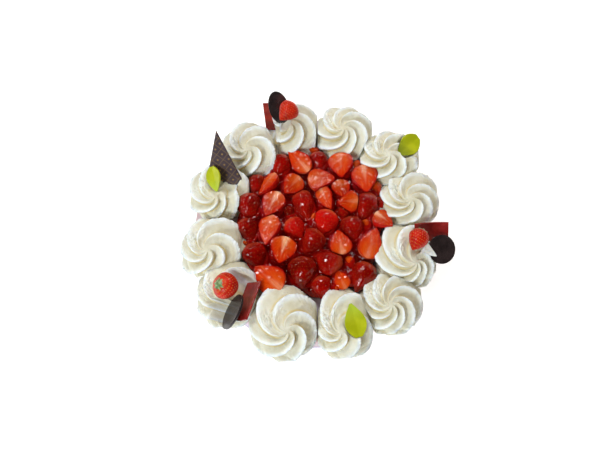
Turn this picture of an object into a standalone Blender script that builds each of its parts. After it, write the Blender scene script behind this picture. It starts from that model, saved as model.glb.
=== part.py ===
"""Strawberry cream tart: pink cream body, berries set in jelly, a ring of twelve piped
cream rosettes and its garnish of strawberries, chocolate pieces and sugar petals.

Millimetres throughout, turned to metres when a mesh is made.  +Z is up, the base of the
cream body stands on Z = 0 and the Z axis runs through its middle.  -Y is the front.
"""
import math

import bmesh
import bpy
import numpy as np
from mathutils import Matrix, Vector

MM = 0.001
TART = "strawberry_cream_tart"
CUTTERS = "strawberry_cream_tart_cutters"

# Clearances between pieces
GAP = 0.3
WELD = 0.00002
FLAT_ANGLE = 0.002
SHARP_ANGLE = 42.0

# Cream body
BODY_RADIUS = 113.0
BODY_TOP = 42.0
BODY_EDGE = 2.5
BODY_FOOT = 1.5
BODY_STEPS = 48

# The ring of rosettes sits a little forward of the middle of the body
RING_SHIFT = Vector((0.0, -3.5, 0.0))

# Jelly pool
JELLY_BASE = BODY_TOP + GAP
JELLY_TOP = 51.5
JELLY_STEPS = 56
JELLY_OVERLAP_LEVEL = 63.0
JELLY_SWEEP = 2.6
BERRY_FLOOR = 44.6
POCKET_FLOOR = BERRY_FLOOR - GAP
POCKET_SPACING = 0.8
POCKET_ROOM = 0.75

# Rosettes
ROSETTE_BASE = BODY_TOP + GAP
EQUATOR_SHARE = 0.74
EQUATOR_HEIGHT = 7.5
TUCK = 0.12
RIDGE_DEPTH = 3.4
RIDGE_LEAN = 0.10
CURL = 0.6
MIDDLE = 0.65
RIDGE_SHAPE = (1.0, 0.25, 0.0, 0.18, 0.52)
RING_SHARES = (0.09, 0.24, 0.40, 0.57, EQUATOR_SHARE, 1.0)
PRESS_DEPTH = 5.0

# name, centre x, centre y, half width, half depth, swirl x, swirl y, ridges, turn, start, height
ROSETTES = (
    ("rosette_01", -20.5, 98.0, 27.0, 28.5, -3.0, -3.5, 6, 215, 10, 28.0),
    ("rosette_02", 31.0, 93.5, 28.0, 28.5, -1.5, -3.5, 7, 200, 4, 27.0),
    ("rosette_03", 74.5, 66.0, 28.0, 28.0, -3.0, -3.5, 7, 200, 22, 26.5),
    ("rosette_04", 91.5, 22.5, 28.5, 26.0, -2.0, -6.5, 7, 205, 0, 26.0),
    ("rosette_05", 84.0, -33.0, 28.0, 30.5, 6.5, -10.5, 7, 205, 15, 27.5),
    ("rosette_06", 68.5, -76.0, 27.5, 27.0, -2.0, -5.0, 8, 190, 8, 27.0),
    ("rosette_07", 28.0, -93.5, 25.5, 29.5, -4.5, -10.0, 6, 200, 18, 26.0),
    ("rosette_08", -25.0, -92.5, 30.5, 31.5, 4.0, -11.0, 6, 215, 30, 28.5),
    ("rosette_09", -74.0, -67.0, 28.5, 30.0, -4.5, -8.5, 6, 210, 12, 25.5),
    ("rosette_10", -92.0, -25.0, 28.5, 28.5, -2.0, -7.5, 6, 215, 26, 27.5),
    ("rosette_11", -89.0, 31.0, 28.0, 28.5, -1.0, -11.0, 6, 210, 2, 26.0),
    ("rosette_12", -61.0, 76.0, 27.5, 28.5, -1.5, -9.0, 6, 215, 16, 26.5),
)

# Berry pieces: cut, centre x, centre y, length, width, heading of the tip, lift, roll
BERRIES = (
    ("half", -14.0, 62.5, 30.0, 17.5, 130, 2.0, -12),
    ("dome", 6.0, 62.5, 21.0, 16.5, -75, 0.5, 0),
    ("half", 27.0, 55.5, 23.5, 22.0, -85, 1.5, 8),
    ("dome", -31.5, 58.0, 23.0, 19.5, -105, 0.0, 0),
    ("half", 50.0, 41.5, 26.5, 23.0, -85, 1.5, 6),
    ("half", 8.5, 41.0, 24.0, 22.0, 5, 1.5, -10),
    ("half", -19.5, 35.5, 21.0, 19.0, -130, 1.0, -8),
    ("half", -43.5, 37.5, 25.5, 16.0, -125, 1.0, 32),
    ("dome", -54.0, 37.5, 21.5, 17.0, -105, 0.0, 0),
    ("half", 27.5, 32.0, 18.5, 17.0, -70, 1.0, -6),
    ("half", 12.0, 22.0, 23.5, 14.0, -65, 5.0, 20),
    ("dome", -7.5, 16.0, 30.5, 18.5, -75, 1.0, 0),
    ("half", -37.5, 15.5, 25.0, 20.5, -115, 1.5, 10),
    ("dome", -60.0, 15.0, 25.5, 21.5, -75, 0.0, 0),
    ("half", 33.0, 19.0, 19.0, 19.0, 180, 1.5, -14),
    ("dome", 50.0, 15.0, 27.5, 19.5, -110, 1.5, 0),
    ("half", 66.0, 0.5, 19.0, 17.5, -40, 2.5, -16),
    ("half", -40.5, -9.5, 27.5, 18.5, -100, 2.5, 14),
    ("dome", -60.0, -8.5, 23.5, 20.0, -65, 0.0, 0),
    ("dome", 12.0, -1.0, 24.0, 20.5, -110, 1.5, 0),
    ("dome", 36.5, -7.5, 23.5, 20.5, -85, 1.0, 0),
    ("dome", -15.0, -7.5, 23.5, 18.5, -50, 1.0, 0),
    ("dome", -1.0, -20.0, 24.0, 22.0, -120, 1.0, 0),
    ("half", 53.5, -22.0, 28.5, 20.0, 70, 2.0, 10),
    ("half", 25.0, -21.5, 22.0, 19.0, 100, 2.0, 4),
    ("half", -27.0, -29.5, 23.5, 22.5, -105, 2.0, -8),
    ("dome", -52.0, -33.5, 24.5, 21.5, -65, 0.0, 0),
    ("dome", 13.0, -38.5, 26.5, 21.5, 160, 1.5, 0),
    ("half", 25.5, -55.0, 17.5, 14.0, 115, 0.5, 0),
    ("dome", 44.5, -53.0, 27.5, 21.5, -115, 0.5, 0),
    ("dome", -9.0, -49.0, 27.5, 25.0, -90, 0.5, 0),
    ("half", -39.5, -55.0, 29.5, 24.0, 140, 1.0, -10),
    ("dome", 8.5, -62.5, 21.5, 17.5, -75, 0.0, 0),
)

# Small pieces sunk in the jelly and fused with it
NUBS = (
    ("nub", 1.5, 76.5, 12.0, 9.0, -5, 4.0, 0),
    ("nub", 45.5, 60.0, 12.5, 10.5, 5, 4.0, 0),
    ("nub", 61.5, 34.0, 17.0, 11.5, -80, 4.0, 0),
    ("nub", 65.0, 19.5, 16.0, 9.5, -75, 4.0, 0),
    ("nub", 1.5, 5.5, 9.0, 8.5, -45, 4.0, 0),
    ("nub", -20.5, 9.5, 13.5, 12.0, -50, 3.5, 0),
    ("nub", 27.5, 8.5, 15.5, 13.0, -135, 4.0, 0),
    ("nub", 50.0, -1.5, 12.0, 9.5, -65, 4.0, 0),
    ("nub", -61.5, -19.0, 8.0, 7.5, 30, 3.5, 0),
    ("nub", 34.0, -38.0, 12.0, 9.0, -75, 4.0, 0),
    ("nub", 22.0, -63.0, 9.5, 8.0, -70, 4.0, 0),
)
BERRY_SWELL = 1.10
BERRY_AROUND = 9
BERRY_ALONG = 5
NUB_AROUND = 6
NUB_ALONG = 3
BERRY_SHOULDER = 0.80
BERRY_FULLNESS = 0.85
HALF_CUT = 0.06
DOME_CUT = -0.26
NUB_CUT = -0.10
SEARCH_DIRECTIONS = 400

# Whole strawberries on the cream: name, centre x, y, z, length, width, heading and pitch of
# the tip, reach of the leaves round the stalk (0 where the berry has none)
TOP_BERRIES = (
    ("strawberry_1", -24.0, 100.0, 81.5, 21.5, 19.5, 230, -5, 0.0),
    ("strawberry_2", 91.5, -26.0, 76.5, 22.5, 18.0, 240, 12, 7.0),
    ("strawberry_3", -72.0, -66.0, 74.0, 25.0, 23.0, 5, -57, 6.5),
)
TOP_BERRY_AROUND = 12
TOP_BERRY_ALONG = 7
CALYX_LEAVES = 6
CALYX_NOTCH = 0.45
CALYX_DEPTH = 3.4
CALYX_TOP = 0.25

# Flat pieces pushed into the cream: name, centre x, y, z, facing, rise, spin, length, width
PLATES = (
    ("red_plate_1", -37.5, 109.5, 57.5, -104, 28, 100, 30.0, 21.0),
    ("red_plate_2", 108.5, -16.5, 57.5, -97, 39, 101, 31.0, 30.0),
    ("red_plate_3", -56.0, -76.0, 59.0, 156, 41, 101, 20.0, 36.5),
)
PLATE_THICK = 1.5
PLATE_BOW = 1.2
PLATE_STEPS = 5

OVALS = (
    ("dark_oval_1", -32.5, 109.5, 74.0, -80, 38, 98, 33.0, 19.5),
    ("dark_oval_2", 115.5, -30.0, 63.0, -40, 64, 140, 27.5, 26.0),
    ("dark_oval_3", -68.5, -86.0, 62.5, 168, 38, 150, 33.0, 21.0),
)
OVAL_THICK = 2.2
OVAL_STEPS = 20
OVAL_EDGE = 0.6

PETALS = (
    ("green_petal_1", 92.5, 76.5, 58.5, -60, 58, 13, 27.0, 20.5),
    ("green_petal_2", 35.5, -94.0, 68.5, -70, 72, -94, 29.0, 18.5),
    ("green_petal_3", -91.0, 36.5, 68.5, 215, 50, 152, 23.5, 17.0),
)
PETAL_THICK = 1.2
PETAL_FOLD = 0.16
PETAL_STEPS = 7

# Dark pointed piece: corners across and along its plane
SHARD = ("dark_shard", -82.5, 53.0, 76.5, -95, 40, 100)
SHARD_CORNERS = ((-1.0, 28.0), (13.5, -21.5), (3.5, -31.5), (-16.5, -10.5))
SHARD_THICK = 2.0

COLOURS = {
    "whipped_cream": ((0.90, 0.87, 0.78), 0.55),
    "pink_cream": ((0.74, 0.47, 0.52), 0.60),
    "strawberry_jelly": ((0.30, 0.004, 0.006), 0.12),
    "cut_strawberry": ((0.62, 0.07, 0.02), 0.25),
    "strawberry_skin": ((0.36, 0.008, 0.010), 0.20),
    "fresh_strawberry": ((0.62, 0.02, 0.015), 0.32),
    "red_chocolate": ((0.26, 0.02, 0.025), 0.40),
    "dark_chocolate": ((0.032, 0.020, 0.022), 0.38),
    "green_sugar": ((0.42, 0.48, 0.02), 0.35),
}


def clear_scene():
    """Empties the scene and makes the two collections."""
    for item in list(bpy.data.objects):
        bpy.data.objects.remove(item, do_unlink=True)
    for group in list(bpy.data.collections):
        bpy.data.collections.remove(group)
    tart = bpy.data.collections.new(TART)
    cutters = bpy.data.collections.new(CUTTERS)
    bpy.context.scene.collection.children.link(tart)
    bpy.context.scene.collection.children.link(cutters)
    return tart, cutters


def make_material(name):
    """A Principled material of the named food."""
    colour, roughness = COLOURS[name]
    material = bpy.data.materials.get(name) or bpy.data.materials.new(name)
    material.use_nodes = True
    shader = material.node_tree.nodes["Principled BSDF"]
    shader.inputs["Base Color"].default_value = (*colour, 1.0)
    shader.inputs["Roughness"].default_value = roughness
    shader.inputs["Metallic"].default_value = 0.0
    material.diffuse_color = (*colour, 1.0)
    return material


def shade(mesh):
    """Smooth shading with the real edges kept sharp."""
    mesh.shade_smooth()
    mesh.set_sharp_from_angle(angle=math.radians(SHARP_ANGLE))


def mesh_object(name, body, collection, material=None, origin=(0.0, 0.0, 0.0)):
    """Turns a bmesh in millimetres into an object that stands at its own origin."""
    bmesh.ops.triangulate(body, faces=body.faces)
    bmesh.ops.recalc_face_normals(body, faces=body.faces)
    shift = Matrix.Translation(-Vector(origin))
    bmesh.ops.transform(body, matrix=Matrix.Scale(MM, 4) @ shift, verts=body.verts)
    mesh = bpy.data.meshes.new(name)
    body.to_mesh(mesh)
    body.free()
    shade(mesh)
    item = bpy.data.objects.new(name, mesh)
    item.location = (Vector(origin) + RING_SHIFT) * MM
    collection.objects.link(item)
    if material:
        mesh.materials.append(make_material(material))
    return item


def mark_cutter(item):
    """Shows a cutter as wire only."""
    item.hide_render = True
    item.display_type = "WIRE"
    return item


def points_of(body):
    """The corner points of a bmesh as an array."""
    return np.round([vertex.co[:] for vertex in body.verts], 4)


def smooth(low, high, value):
    """Smooth step from 0 at low to 1 at high."""
    share = np.clip((value - low) / (high - low), 0.0, 1.0)
    return share * share * (3.0 - 2.0 * share)


# ---------------------------------------------------------------- cream body

def make_body(collection):
    """Round cream body: half its section turned about the Z axis."""
    section = (
        (0.0, BODY_TOP),
        (BODY_RADIUS - BODY_EDGE, BODY_TOP),
        (BODY_RADIUS, BODY_TOP - BODY_EDGE),
        (BODY_RADIUS, BODY_FOOT),
        (BODY_RADIUS - BODY_FOOT, 0.0),
        (0.0, 0.0),
    )
    mesh = bpy.data.meshes.new("cream_body")
    edges = [(index, index + 1) for index in range(len(section) - 1)]
    mesh.from_pydata([(x * MM, 0.0, z * MM) for x, z in section], edges, [])
    item = bpy.data.objects.new("cream_body", mesh)
    collection.objects.link(item)
    mesh.materials.append(make_material("pink_cream"))
    turned = item.modifiers.new("turned", "SCREW")
    turned.axis = "Z"
    turned.steps = BODY_STEPS
    turned.render_steps = BODY_STEPS
    turned.use_merge_vertices = True
    turned.merge_threshold = 0.0001
    turned.use_smooth_shade = False
    return item


# ---------------------------------------------------------------- rosettes

def outline_reach(angle, swirl, half):
    """Distance from the swirl point to an ellipse about (0, 0), in each direction."""
    along = np.stack([np.cos(angle) / half[0], np.sin(angle) / half[1]], -1)
    start = np.array([swirl[0] / half[0], swirl[1] / half[1]])
    square = (along ** 2).sum(-1)
    cross = (along * start).sum(-1)
    rest = start @ start - 1.0
    return (-cross + np.sqrt(cross ** 2 - square * rest)) / square


def dome(share, height):
    """Outward share, height and lean of the rosette's side from its top to its foot."""
    upper = share <= EQUATOR_SHARE
    rise = np.where(upper, share / EQUATOR_SHARE, 1.0) * math.pi / 2.0
    under = np.where(upper, 0.0, (share - EQUATOR_SHARE) / (1.0 - EQUATOR_SHARE)) * math.pi / 2.0
    reach = np.sin(rise) ** 0.92 - TUCK * (1.0 - np.cos(under))
    level = EQUATOR_HEIGHT + (height - EQUATOR_HEIGHT) * np.cos(rise) ** 0.80
    level = np.where(upper, level, EQUATOR_HEIGHT * (1.0 - np.sin(under)))
    return reach, level, rise


def press(points, centre, normal, limit, depth):
    """Squeezes points softly so that none passes the plane at the limit."""
    ahead = (points - centre) @ normal - limit
    beyond = np.maximum(ahead + depth, 0.0)
    eased = (depth - GAP / 2.0) * (1.0 - np.exp(-beyond / (depth - GAP / 2.0)))
    return points - ((beyond - eased)[..., None]) * normal


def rosette_points(row):
    """Rings of a piped swirl: ridges leave the swirl point and curl clockwise to the foot."""
    _, x, y, half_x, half_y, swirl_x, swirl_y, ridges, turn, start, height = row
    samples = len(RIDGE_SHAPE)
    steps = ridges * samples
    first = np.radians(start) + 2.0 * math.pi * np.arange(steps) / steps
    ridge = np.tile(np.array(RIDGE_SHAPE), ridges)
    uneven = 1.0 + 0.16 * np.sin(2.0 * first + start) + 0.10 * np.sin(5.0 * first + x)
    share = np.array(RING_SHARES)
    reach, level, lean = dome(share, height)
    angle = first[None, :] - math.radians(turn) * share[:, None] ** CURL
    grown = smooth(0.0, 0.30, share) * (1.0 - 0.45 * smooth(EQUATOR_SHARE, 1.0, share))
    raised = RIDGE_DEPTH * grown[:, None] * (ridge * uneven - 0.5)[None, :]
    angle = angle - RIDGE_LEAN * grown[:, None] * (ridge - 0.5)[None, :]
    outline = outline_reach(angle, (swirl_x, swirl_y), (half_x, half_y)) - 0.3 * RIDGE_DEPTH
    outline = outline * (1.0 + 0.02 * np.sin(2.0 * angle + y) + 0.015 * np.sin(3.0 * angle + x))
    plan_x = swirl_x + reach[:, None] * outline * np.cos(angle)
    plan_y = swirl_y + reach[:, None] * outline * np.sin(angle)
    round_middle = np.clip(np.hypot(plan_x / half_x, plan_y / half_y), 0.0, 1.0)
    middle_level = EQUATOR_HEIGHT + (height - EQUATOR_HEIGHT) * (1.0 - round_middle ** 2.17) ** 0.40
    over = (share <= EQUATOR_SHARE)[:, None]
    level = np.where(over, (1.0 - MIDDLE) * level[:, None] + MIDDLE * middle_level, level[:, None])
    outward = reach[:, None] * outline + np.sin(lean)[:, None] * raised
    up = ROSETTE_BASE + level + (np.cos(lean) * (share < 1.0))[:, None] * raised
    up = np.where(share[:, None] < 1.0, up, ROSETTE_BASE)
    points = np.stack([x + swirl_x + outward * np.cos(angle), y + swirl_y + outward * np.sin(angle), up], -1)
    tip = np.array([x + swirl_x, y + swirl_y, up[0].max() + 0.3])
    return points, tip


def neighbours(row):
    """Pressing planes between a rosette and the ones beside it."""
    planes = []
    for other in ROSETTES:
        if other[0] == row[0]:
            continue
        across = np.array([other[1] - row[1], other[2] - row[2], 0.0])
        distance = np.linalg.norm(across)
        normal = across / distance
        mine = math.hypot(normal[0] * row[3], normal[1] * row[4])
        theirs = math.hypot(normal[0] * other[3], normal[1] * other[4])
        if mine + theirs > distance - 2.0 * RIDGE_DEPTH:
            planes.append((normal, (distance + mine - theirs) / 2.0))
    return planes


def loft_rings(rings, first, last):
    """Skins a stack of rings and closes it with a fan at each end."""
    body = bmesh.new()
    rows = [[body.verts.new(point) for point in ring] for ring in rings]
    count = len(rows[0])
    for lower, upper in zip(rows, rows[1:]):
        for step in range(count):
            after = (step + 1) % count
            body.faces.new((lower[step], lower[after], upper[after], upper[step]))
    for row, end in ((rows[0], first), (rows[-1], last)):
        tip = body.verts.new(end)
        for step in range(count):
            body.faces.new((row[step], row[(step + 1) % count], tip))
    bmesh.ops.recalc_face_normals(body, faces=body.faces)
    return body


def rosette_body(row):
    """One rosette, pressed against its neighbours."""
    points, tip = rosette_points(row)
    centre = np.array([row[1], row[2], 0.0])
    for normal, limit in neighbours(row):
        points = press(points, centre, normal, limit, PRESS_DEPTH)
    return loft_rings(points, tip, points[-1].mean(0))


# ---------------------------------------------------------------- berries

def berry_form(length, width, around, along):
    """A sphere drawn out to a strawberry along X, its tip toward +X."""
    body = bmesh.new()
    bmesh.ops.create_uvsphere(body, u_segments=around, v_segments=along, radius=1.0)
    for vertex in body.verts:
        across = math.hypot(vertex.co.x, vertex.co.y)
        share = math.atan2(across, vertex.co.z) / math.pi
        station = share ** (1.0 / BERRY_SHOULDER)
        radius = 0.5 * width * math.sin(math.pi * share ** BERRY_SHOULDER) ** BERRY_FULLNESS
        scale = radius / across if across > 0.001 else 0.0
        vertex.co = (length * (station - 0.5), scale * vertex.co.x, scale * vertex.co.y)
    bmesh.ops.recalc_face_normals(body, faces=body.faces)
    return body


def cut_flat(body, point, normal):
    """Cuts a solid by a plane, keeps the side behind it and closes the cut."""
    parts = list(body.verts) + list(body.edges) + list(body.faces)
    bmesh.ops.bisect_plane(
        body, geom=parts, dist=0.001, plane_co=point, plane_no=normal, clear_outer=True
    )
    rim = [edge for edge in body.edges if edge.is_boundary]
    if rim:
        bmesh.ops.holes_fill(body, edges=rim, sides=0)
    bmesh.ops.remove_doubles(body, verts=body.verts, dist=WELD / MM)


def set_pose(body, heading, pitch, roll, x, y, z):
    """Rolls, pitches and turns a solid, then moves it."""
    pose = Matrix.Translation((x, y, z))
    pose = pose @ Matrix.Rotation(math.radians(heading), 4, "Z")
    pose = pose @ Matrix.Rotation(math.radians(-pitch), 4, "Y")
    pose = pose @ Matrix.Rotation(math.radians(roll), 4, "X")
    bmesh.ops.transform(body, matrix=pose, verts=body.verts)


def berry_body(row):
    """One berry piece resting just above the floor of the jelly."""
    cut, x, y, length, width, heading, lift, roll = row
    if cut == "nub":
        body = berry_form(length, width, NUB_AROUND, NUB_ALONG)
        cut_flat(body, (0.0, 0.0, NUB_CUT * width), (0.0, 0.0, -1.0))
    else:
        length = length * BERRY_SWELL
        width = width * BERRY_SWELL
        body = berry_form(length, width, BERRY_AROUND, BERRY_ALONG)
        if cut == "half":
            cut_flat(body, (0.0, 0.0, HALF_CUT * width), (0.0, 0.0, 1.0))
        else:
            cut_flat(body, (0.0, 0.0, DOME_CUT * width), (0.0, 0.0, -1.0))
    set_pose(body, heading, 0.0, roll, x, y, 0.0)
    low = points_of(body)[:, 2].min()
    bmesh.ops.translate(body, vec=(0.0, 0.0, BERRY_FLOOR + lift - low), verts=body.verts)
    return body


def search_directions():
    """Evenly spread directions over a sphere."""
    index = np.arange(SEARCH_DIRECTIONS)
    height = 1.0 - 2.0 * (index + 0.5) / SEARCH_DIRECTIONS
    turn = index * math.pi * (3.0 - math.sqrt(5.0))
    side = np.sqrt(1.0 - height ** 2)
    return np.stack([side * np.cos(turn), side * np.sin(turn), height], 1)


def part_pair(first, second, directions):
    """Cuts two solids apart along the plane that takes least from both."""
    ahead = (points_of(first) @ directions.T).max(0)
    behind = (points_of(second) @ directions.T).min(0)
    room = behind - ahead
    best = int(room.argmax())
    if room[best] >= GAP:
        return
    normal = directions[best]
    middle = round((ahead[best] + behind[best]) / 2.0, 2)
    cut_flat(first, normal * (middle - GAP / 2.0), normal)
    cut_flat(second, normal * (middle + GAP / 2.0), -normal)


def clear_ring(body, ring):
    """Cuts a berry back from each rosette it would run into."""
    for centre, outline in ring:
        points = points_of(body)[:, :2]
        toward = np.array(centre) - points.mean(0)
        toward = np.round(toward / np.linalg.norm(toward), 3)
        near = round((outline[:, :2] @ toward).min() - GAP, 2)
        if (points @ toward).max() > near:
            cut_flat(body, (toward[0] * near, toward[1] * near, 0.0), (toward[0], toward[1], 0.0))


def arrange_berries(ring):
    """All the berry solids, none of them touching another or a rosette."""
    bodies = [berry_body(row) for row in BERRIES + NUBS]
    directions = search_directions()
    for body in bodies:
        clear_ring(body, ring)
    for low in range(len(bodies)):
        for high in range(low + 1, len(bodies)):
            part_pair(bodies[low], bodies[high], directions)
    return bodies


# ---------------------------------------------------------------- jelly

def jelly_outline(ring):
    """Reach of the jelly in each direction, clear of every rosette's foot and side."""
    turn = np.linspace(0.0, 2.0 * math.pi, JELLY_STEPS, endpoint=False)
    reach = np.full(JELLY_STEPS, BODY_RADIUS)
    for _, points in ring:
        angle = np.arctan2(points[:, 1], points[:, 0])
        radius = np.hypot(points[:, 0], points[:, 1])
        for index, heading in enumerate(turn):
            off = np.abs((angle - heading + math.pi) % (2.0 * math.pi) - math.pi)
            near = radius[off < JELLY_SWEEP * math.pi / JELLY_STEPS]
            if near.size:
                reach[index] = min(reach[index], near.min() - 2.0 * GAP)
    return np.round(np.stack([reach * np.cos(turn), reach * np.sin(turn)], 1), 1)


def plan_hull(points, spacing):
    """Convex outline of points seen from above, without corners closer than the spacing."""
    order = sorted(map(tuple, points[:, :2]))
    sides = []
    for run in (order, order[::-1]):
        chain = []
        for point in run:
            while len(chain) > 1:
                ahead = np.subtract(chain[-1], chain[-2])
                step = np.subtract(point, chain[-1])
                if ahead[0] * step[1] - ahead[1] * step[0] > 0.0:
                    break
                chain.pop()
            chain.append(point)
        sides += chain[:-1]
    kept = [sides[0]]
    for point in sides[1:]:
        if math.dist(point, kept[-1]) > spacing and math.dist(point, kept[0]) > spacing:
            kept.append(point)
    return np.array(kept)


def raise_outline(outline, floor, top):
    """Solid of a flat outline between two levels."""
    body = bmesh.new()
    face = body.faces.new([body.verts.new((x, y, floor)) for x, y in outline])
    raised = bmesh.ops.extrude_face_region(body, geom=[face])["geom"]
    lifted = [part for part in raised if isinstance(part, bmesh.types.BMVert)]
    bmesh.ops.translate(body, vec=(0.0, 0.0, top - floor), verts=lifted)
    bmesh.ops.recalc_face_normals(body, faces=body.faces)
    return body


def pocket_body(body):
    """Straight-sided pocket that clears the sunk part of one berry."""
    sunk = body.copy()
    cut_flat(sunk, (0.0, 0.0, JELLY_TOP + GAP), (0.0, 0.0, 1.0))
    hull = plan_hull(points_of(sunk), POCKET_SPACING)
    sunk.free()
    away = hull - hull.mean(0)
    hull = hull + POCKET_ROOM * away / np.linalg.norm(away, axis=1)[:, None]
    return raise_outline(np.round(hull, 3), POCKET_FLOOR, JELLY_TOP + 2.0)


def apply_boolean(item, group, operation):
    """Joins or cuts an object with a whole collection, then removes the helpers."""
    change = item.modifiers.new(operation.lower(), "BOOLEAN")
    change.operation = operation
    change.solver = "EXACT"
    change.operand_type = "COLLECTION"
    change.collection = group
    bpy.context.view_layer.update()
    graph = bpy.context.evaluated_depsgraph_get()
    mesh = bpy.data.meshes.new_from_object(item.evaluated_get(graph))
    item.modifiers.clear()
    old = item.data
    item.data = mesh
    bpy.data.meshes.remove(old)
    for helper in list(group.objects):
        bpy.data.objects.remove(helper, do_unlink=True)


def islands_of(body):
    """Connected groups of faces, the smallest first."""
    seen = set()
    islands = []
    for seed in body.faces:
        if seed in seen:
            continue
        seen.add(seed)
        island = [seed]
        for face in island:
            for edge in face.edges:
                for other in edge.link_faces:
                    if other not in seen:
                        seen.add(other)
                        island.append(other)
        islands.append(island)
    return sorted(islands, key=len)


def tidy_solid(item):
    """Welds a cut solid, joins its flat faces again and drops loose scraps."""
    body = bmesh.new()
    body.from_mesh(item.data)
    bmesh.ops.remove_doubles(body, verts=body.verts, dist=WELD)
    bmesh.ops.dissolve_degenerate(body, edges=body.edges, dist=WELD)
    bmesh.ops.dissolve_limit(body, angle_limit=FLAT_ANGLE, verts=body.verts, edges=body.edges)
    bmesh.ops.triangulate(body, faces=body.faces)
    scraps = [face for island in islands_of(body)[:-1] for face in island]
    bmesh.ops.delete(body, geom=scraps, context="FACES")
    loose = [edge for edge in body.edges if not edge.link_faces]
    bmesh.ops.delete(body, geom=loose, context="EDGES")
    body.to_mesh(item.data)
    body.free()
    shade(item.data)


def make_jelly(collection, cutters, bodies, ring):
    """Jelly pool with a pocket for each berry and the small sunk pieces joined to it."""
    pool = raise_outline(jelly_outline(ring), JELLY_BASE, JELLY_TOP)
    jelly = mesh_object("jelly", pool, collection, "strawberry_jelly")
    for index, body in enumerate(bodies[:len(BERRIES)]):
        mark_cutter(mesh_object("pocket_%02d" % index, pocket_body(body), cutters))
    apply_boolean(jelly, cutters, "DIFFERENCE")
    for index, body in enumerate(bodies[len(BERRIES):]):
        mark_cutter(mesh_object("nub_%02d" % index, body, cutters))
    apply_boolean(jelly, cutters, "UNION")
    tidy_solid(jelly)


# ---------------------------------------------------------------- garnish

def plane_pose(x, y, z, facing, rise, spin):
    """Pose of a flat piece: Z faces out, Y runs along its length."""
    turn = math.radians(facing)
    lift = math.radians(rise)
    face = Vector((math.cos(turn) * math.cos(lift), math.sin(turn) * math.cos(lift), math.sin(lift)))
    side = Vector((-math.sin(turn), math.cos(turn), 0.0))
    along = math.cos(math.radians(spin)) * side + math.sin(math.radians(spin)) * face.cross(side)
    across = along.cross(face)
    axes = Matrix((across, along, face)).transposed().to_4x4()
    return Matrix.Translation((x, y, z)) @ axes


def sheet(columns, rows, form, thick, row):
    """Thin solid: a grid bent by a form function, thickened, then set in its plane."""
    body = bmesh.new()
    bmesh.ops.create_grid(body, x_segments=columns, y_segments=rows, size=0.5)
    for vertex in body.verts:
        vertex.co = form(vertex.co.x, vertex.co.y)
    bmesh.ops.triangulate(body, faces=body.faces)
    bmesh.ops.recalc_face_normals(body, faces=body.faces)
    bmesh.ops.solidify(body, geom=list(body.faces), thickness=thick)
    bmesh.ops.recalc_face_normals(body, faces=body.faces)
    bmesh.ops.transform(body, matrix=plane_pose(*row[1:7]), verts=body.verts)
    return body


def plate_body(row):
    """Rectangular chocolate plate, bowed about its length."""
    length, width = row[7:9]

    def form(u, v):
        return (width * u, length * v, PLATE_BOW * 4.0 * u * u)

    return sheet(PLATE_STEPS, 2, form, PLATE_THICK, row)


def petal_body(row):
    """Teardrop petal with a crease along its middle; its point is at the -Y end."""
    length, width = row[7:9]

    def form(u, v):
        half = width * math.sin(math.pi * (0.04 + 0.90 * (v + 0.5)) ** 1.25) ** 0.8
        x = u * half
        return (x, length * v, PETAL_FOLD * abs(x) + 0.05 * length * v * v)

    return sheet(2, PETAL_STEPS, form, PETAL_THICK, row)


def oval_body(row):
    """Oval chocolate disc: a flat cylinder stretched to an oval, its rims eased."""
    length, width = row[7:9]
    body = bmesh.new()
    bmesh.ops.create_cone(
        body, cap_ends=True, segments=OVAL_STEPS, radius1=0.5, radius2=0.5, depth=OVAL_THICK
    )
    bmesh.ops.scale(body, vec=(width, length, 1.0), verts=body.verts)
    rims = [edge for edge in body.edges if abs(edge.verts[0].co.z - edge.verts[1].co.z) < 0.1]
    bmesh.ops.bevel(body, geom=rims, offset=OVAL_EDGE, segments=1, affect="EDGES")
    bmesh.ops.transform(body, matrix=plane_pose(*row[1:7]), verts=body.verts)
    return body


def shard_body():
    """Flat pointed chocolate piece."""
    body = raise_outline(SHARD_CORNERS, -SHARD_THICK / 2.0, SHARD_THICK / 2.0)
    bmesh.ops.transform(body, matrix=plane_pose(*SHARD[1:7]), verts=body.verts)
    return body


def top_berry_body(row):
    """Whole strawberry with its tip turned to the heading."""
    _, x, y, z, length, width, heading, pitch, _ = row
    body = berry_form(length, width, TOP_BERRY_AROUND, TOP_BERRY_ALONG)
    set_pose(body, heading, pitch, 0.0, x, y, z)
    return body


def calyx_body(row):
    """Star of small leaves on the blunt end: a flat cone with every other corner drawn in."""
    _, x, y, z, length, _, heading, pitch, reach = row
    body = bmesh.new()
    bmesh.ops.create_cone(
        body, cap_ends=True, segments=2 * CALYX_LEAVES, radius1=1.0, radius2=CALYX_TOP, depth=CALYX_DEPTH
    )
    body.verts.ensure_lookup_table()
    for vertex in body.verts:
        turn = math.atan2(vertex.co.y, vertex.co.x)
        notch = CALYX_NOTCH if round(turn * CALYX_LEAVES / math.pi) % 2 else 1.0
        outward = (reach * notch * vertex.co.x, reach * notch * vertex.co.y)
        vertex.co = (-0.5 * length - vertex.co.z + 0.15 * CALYX_DEPTH, *outward)
    bmesh.ops.recalc_face_normals(body, faces=body.faces)
    set_pose(body, heading, pitch, 0.0, x, y, z)
    return body


def make_garnish():
    """Every loose garnish solid as name, bmesh, material and point of reference."""
    pieces = []
    for row in TOP_BERRIES:
        pieces.append((row[0], top_berry_body(row), "fresh_strawberry", row[1:4]))
    for row in PLATES:
        pieces.append((row[0], plate_body(row), "red_chocolate", row[1:4]))
    for row in OVALS:
        pieces.append((row[0], oval_body(row), "dark_chocolate", row[1:4]))
    for row in PETALS:
        pieces.append((row[0], petal_body(row), "green_sugar", row[1:4]))
    pieces.append((SHARD[0], shard_body(), "dark_chocolate", SHARD[1:4]))
    return pieces


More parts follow.
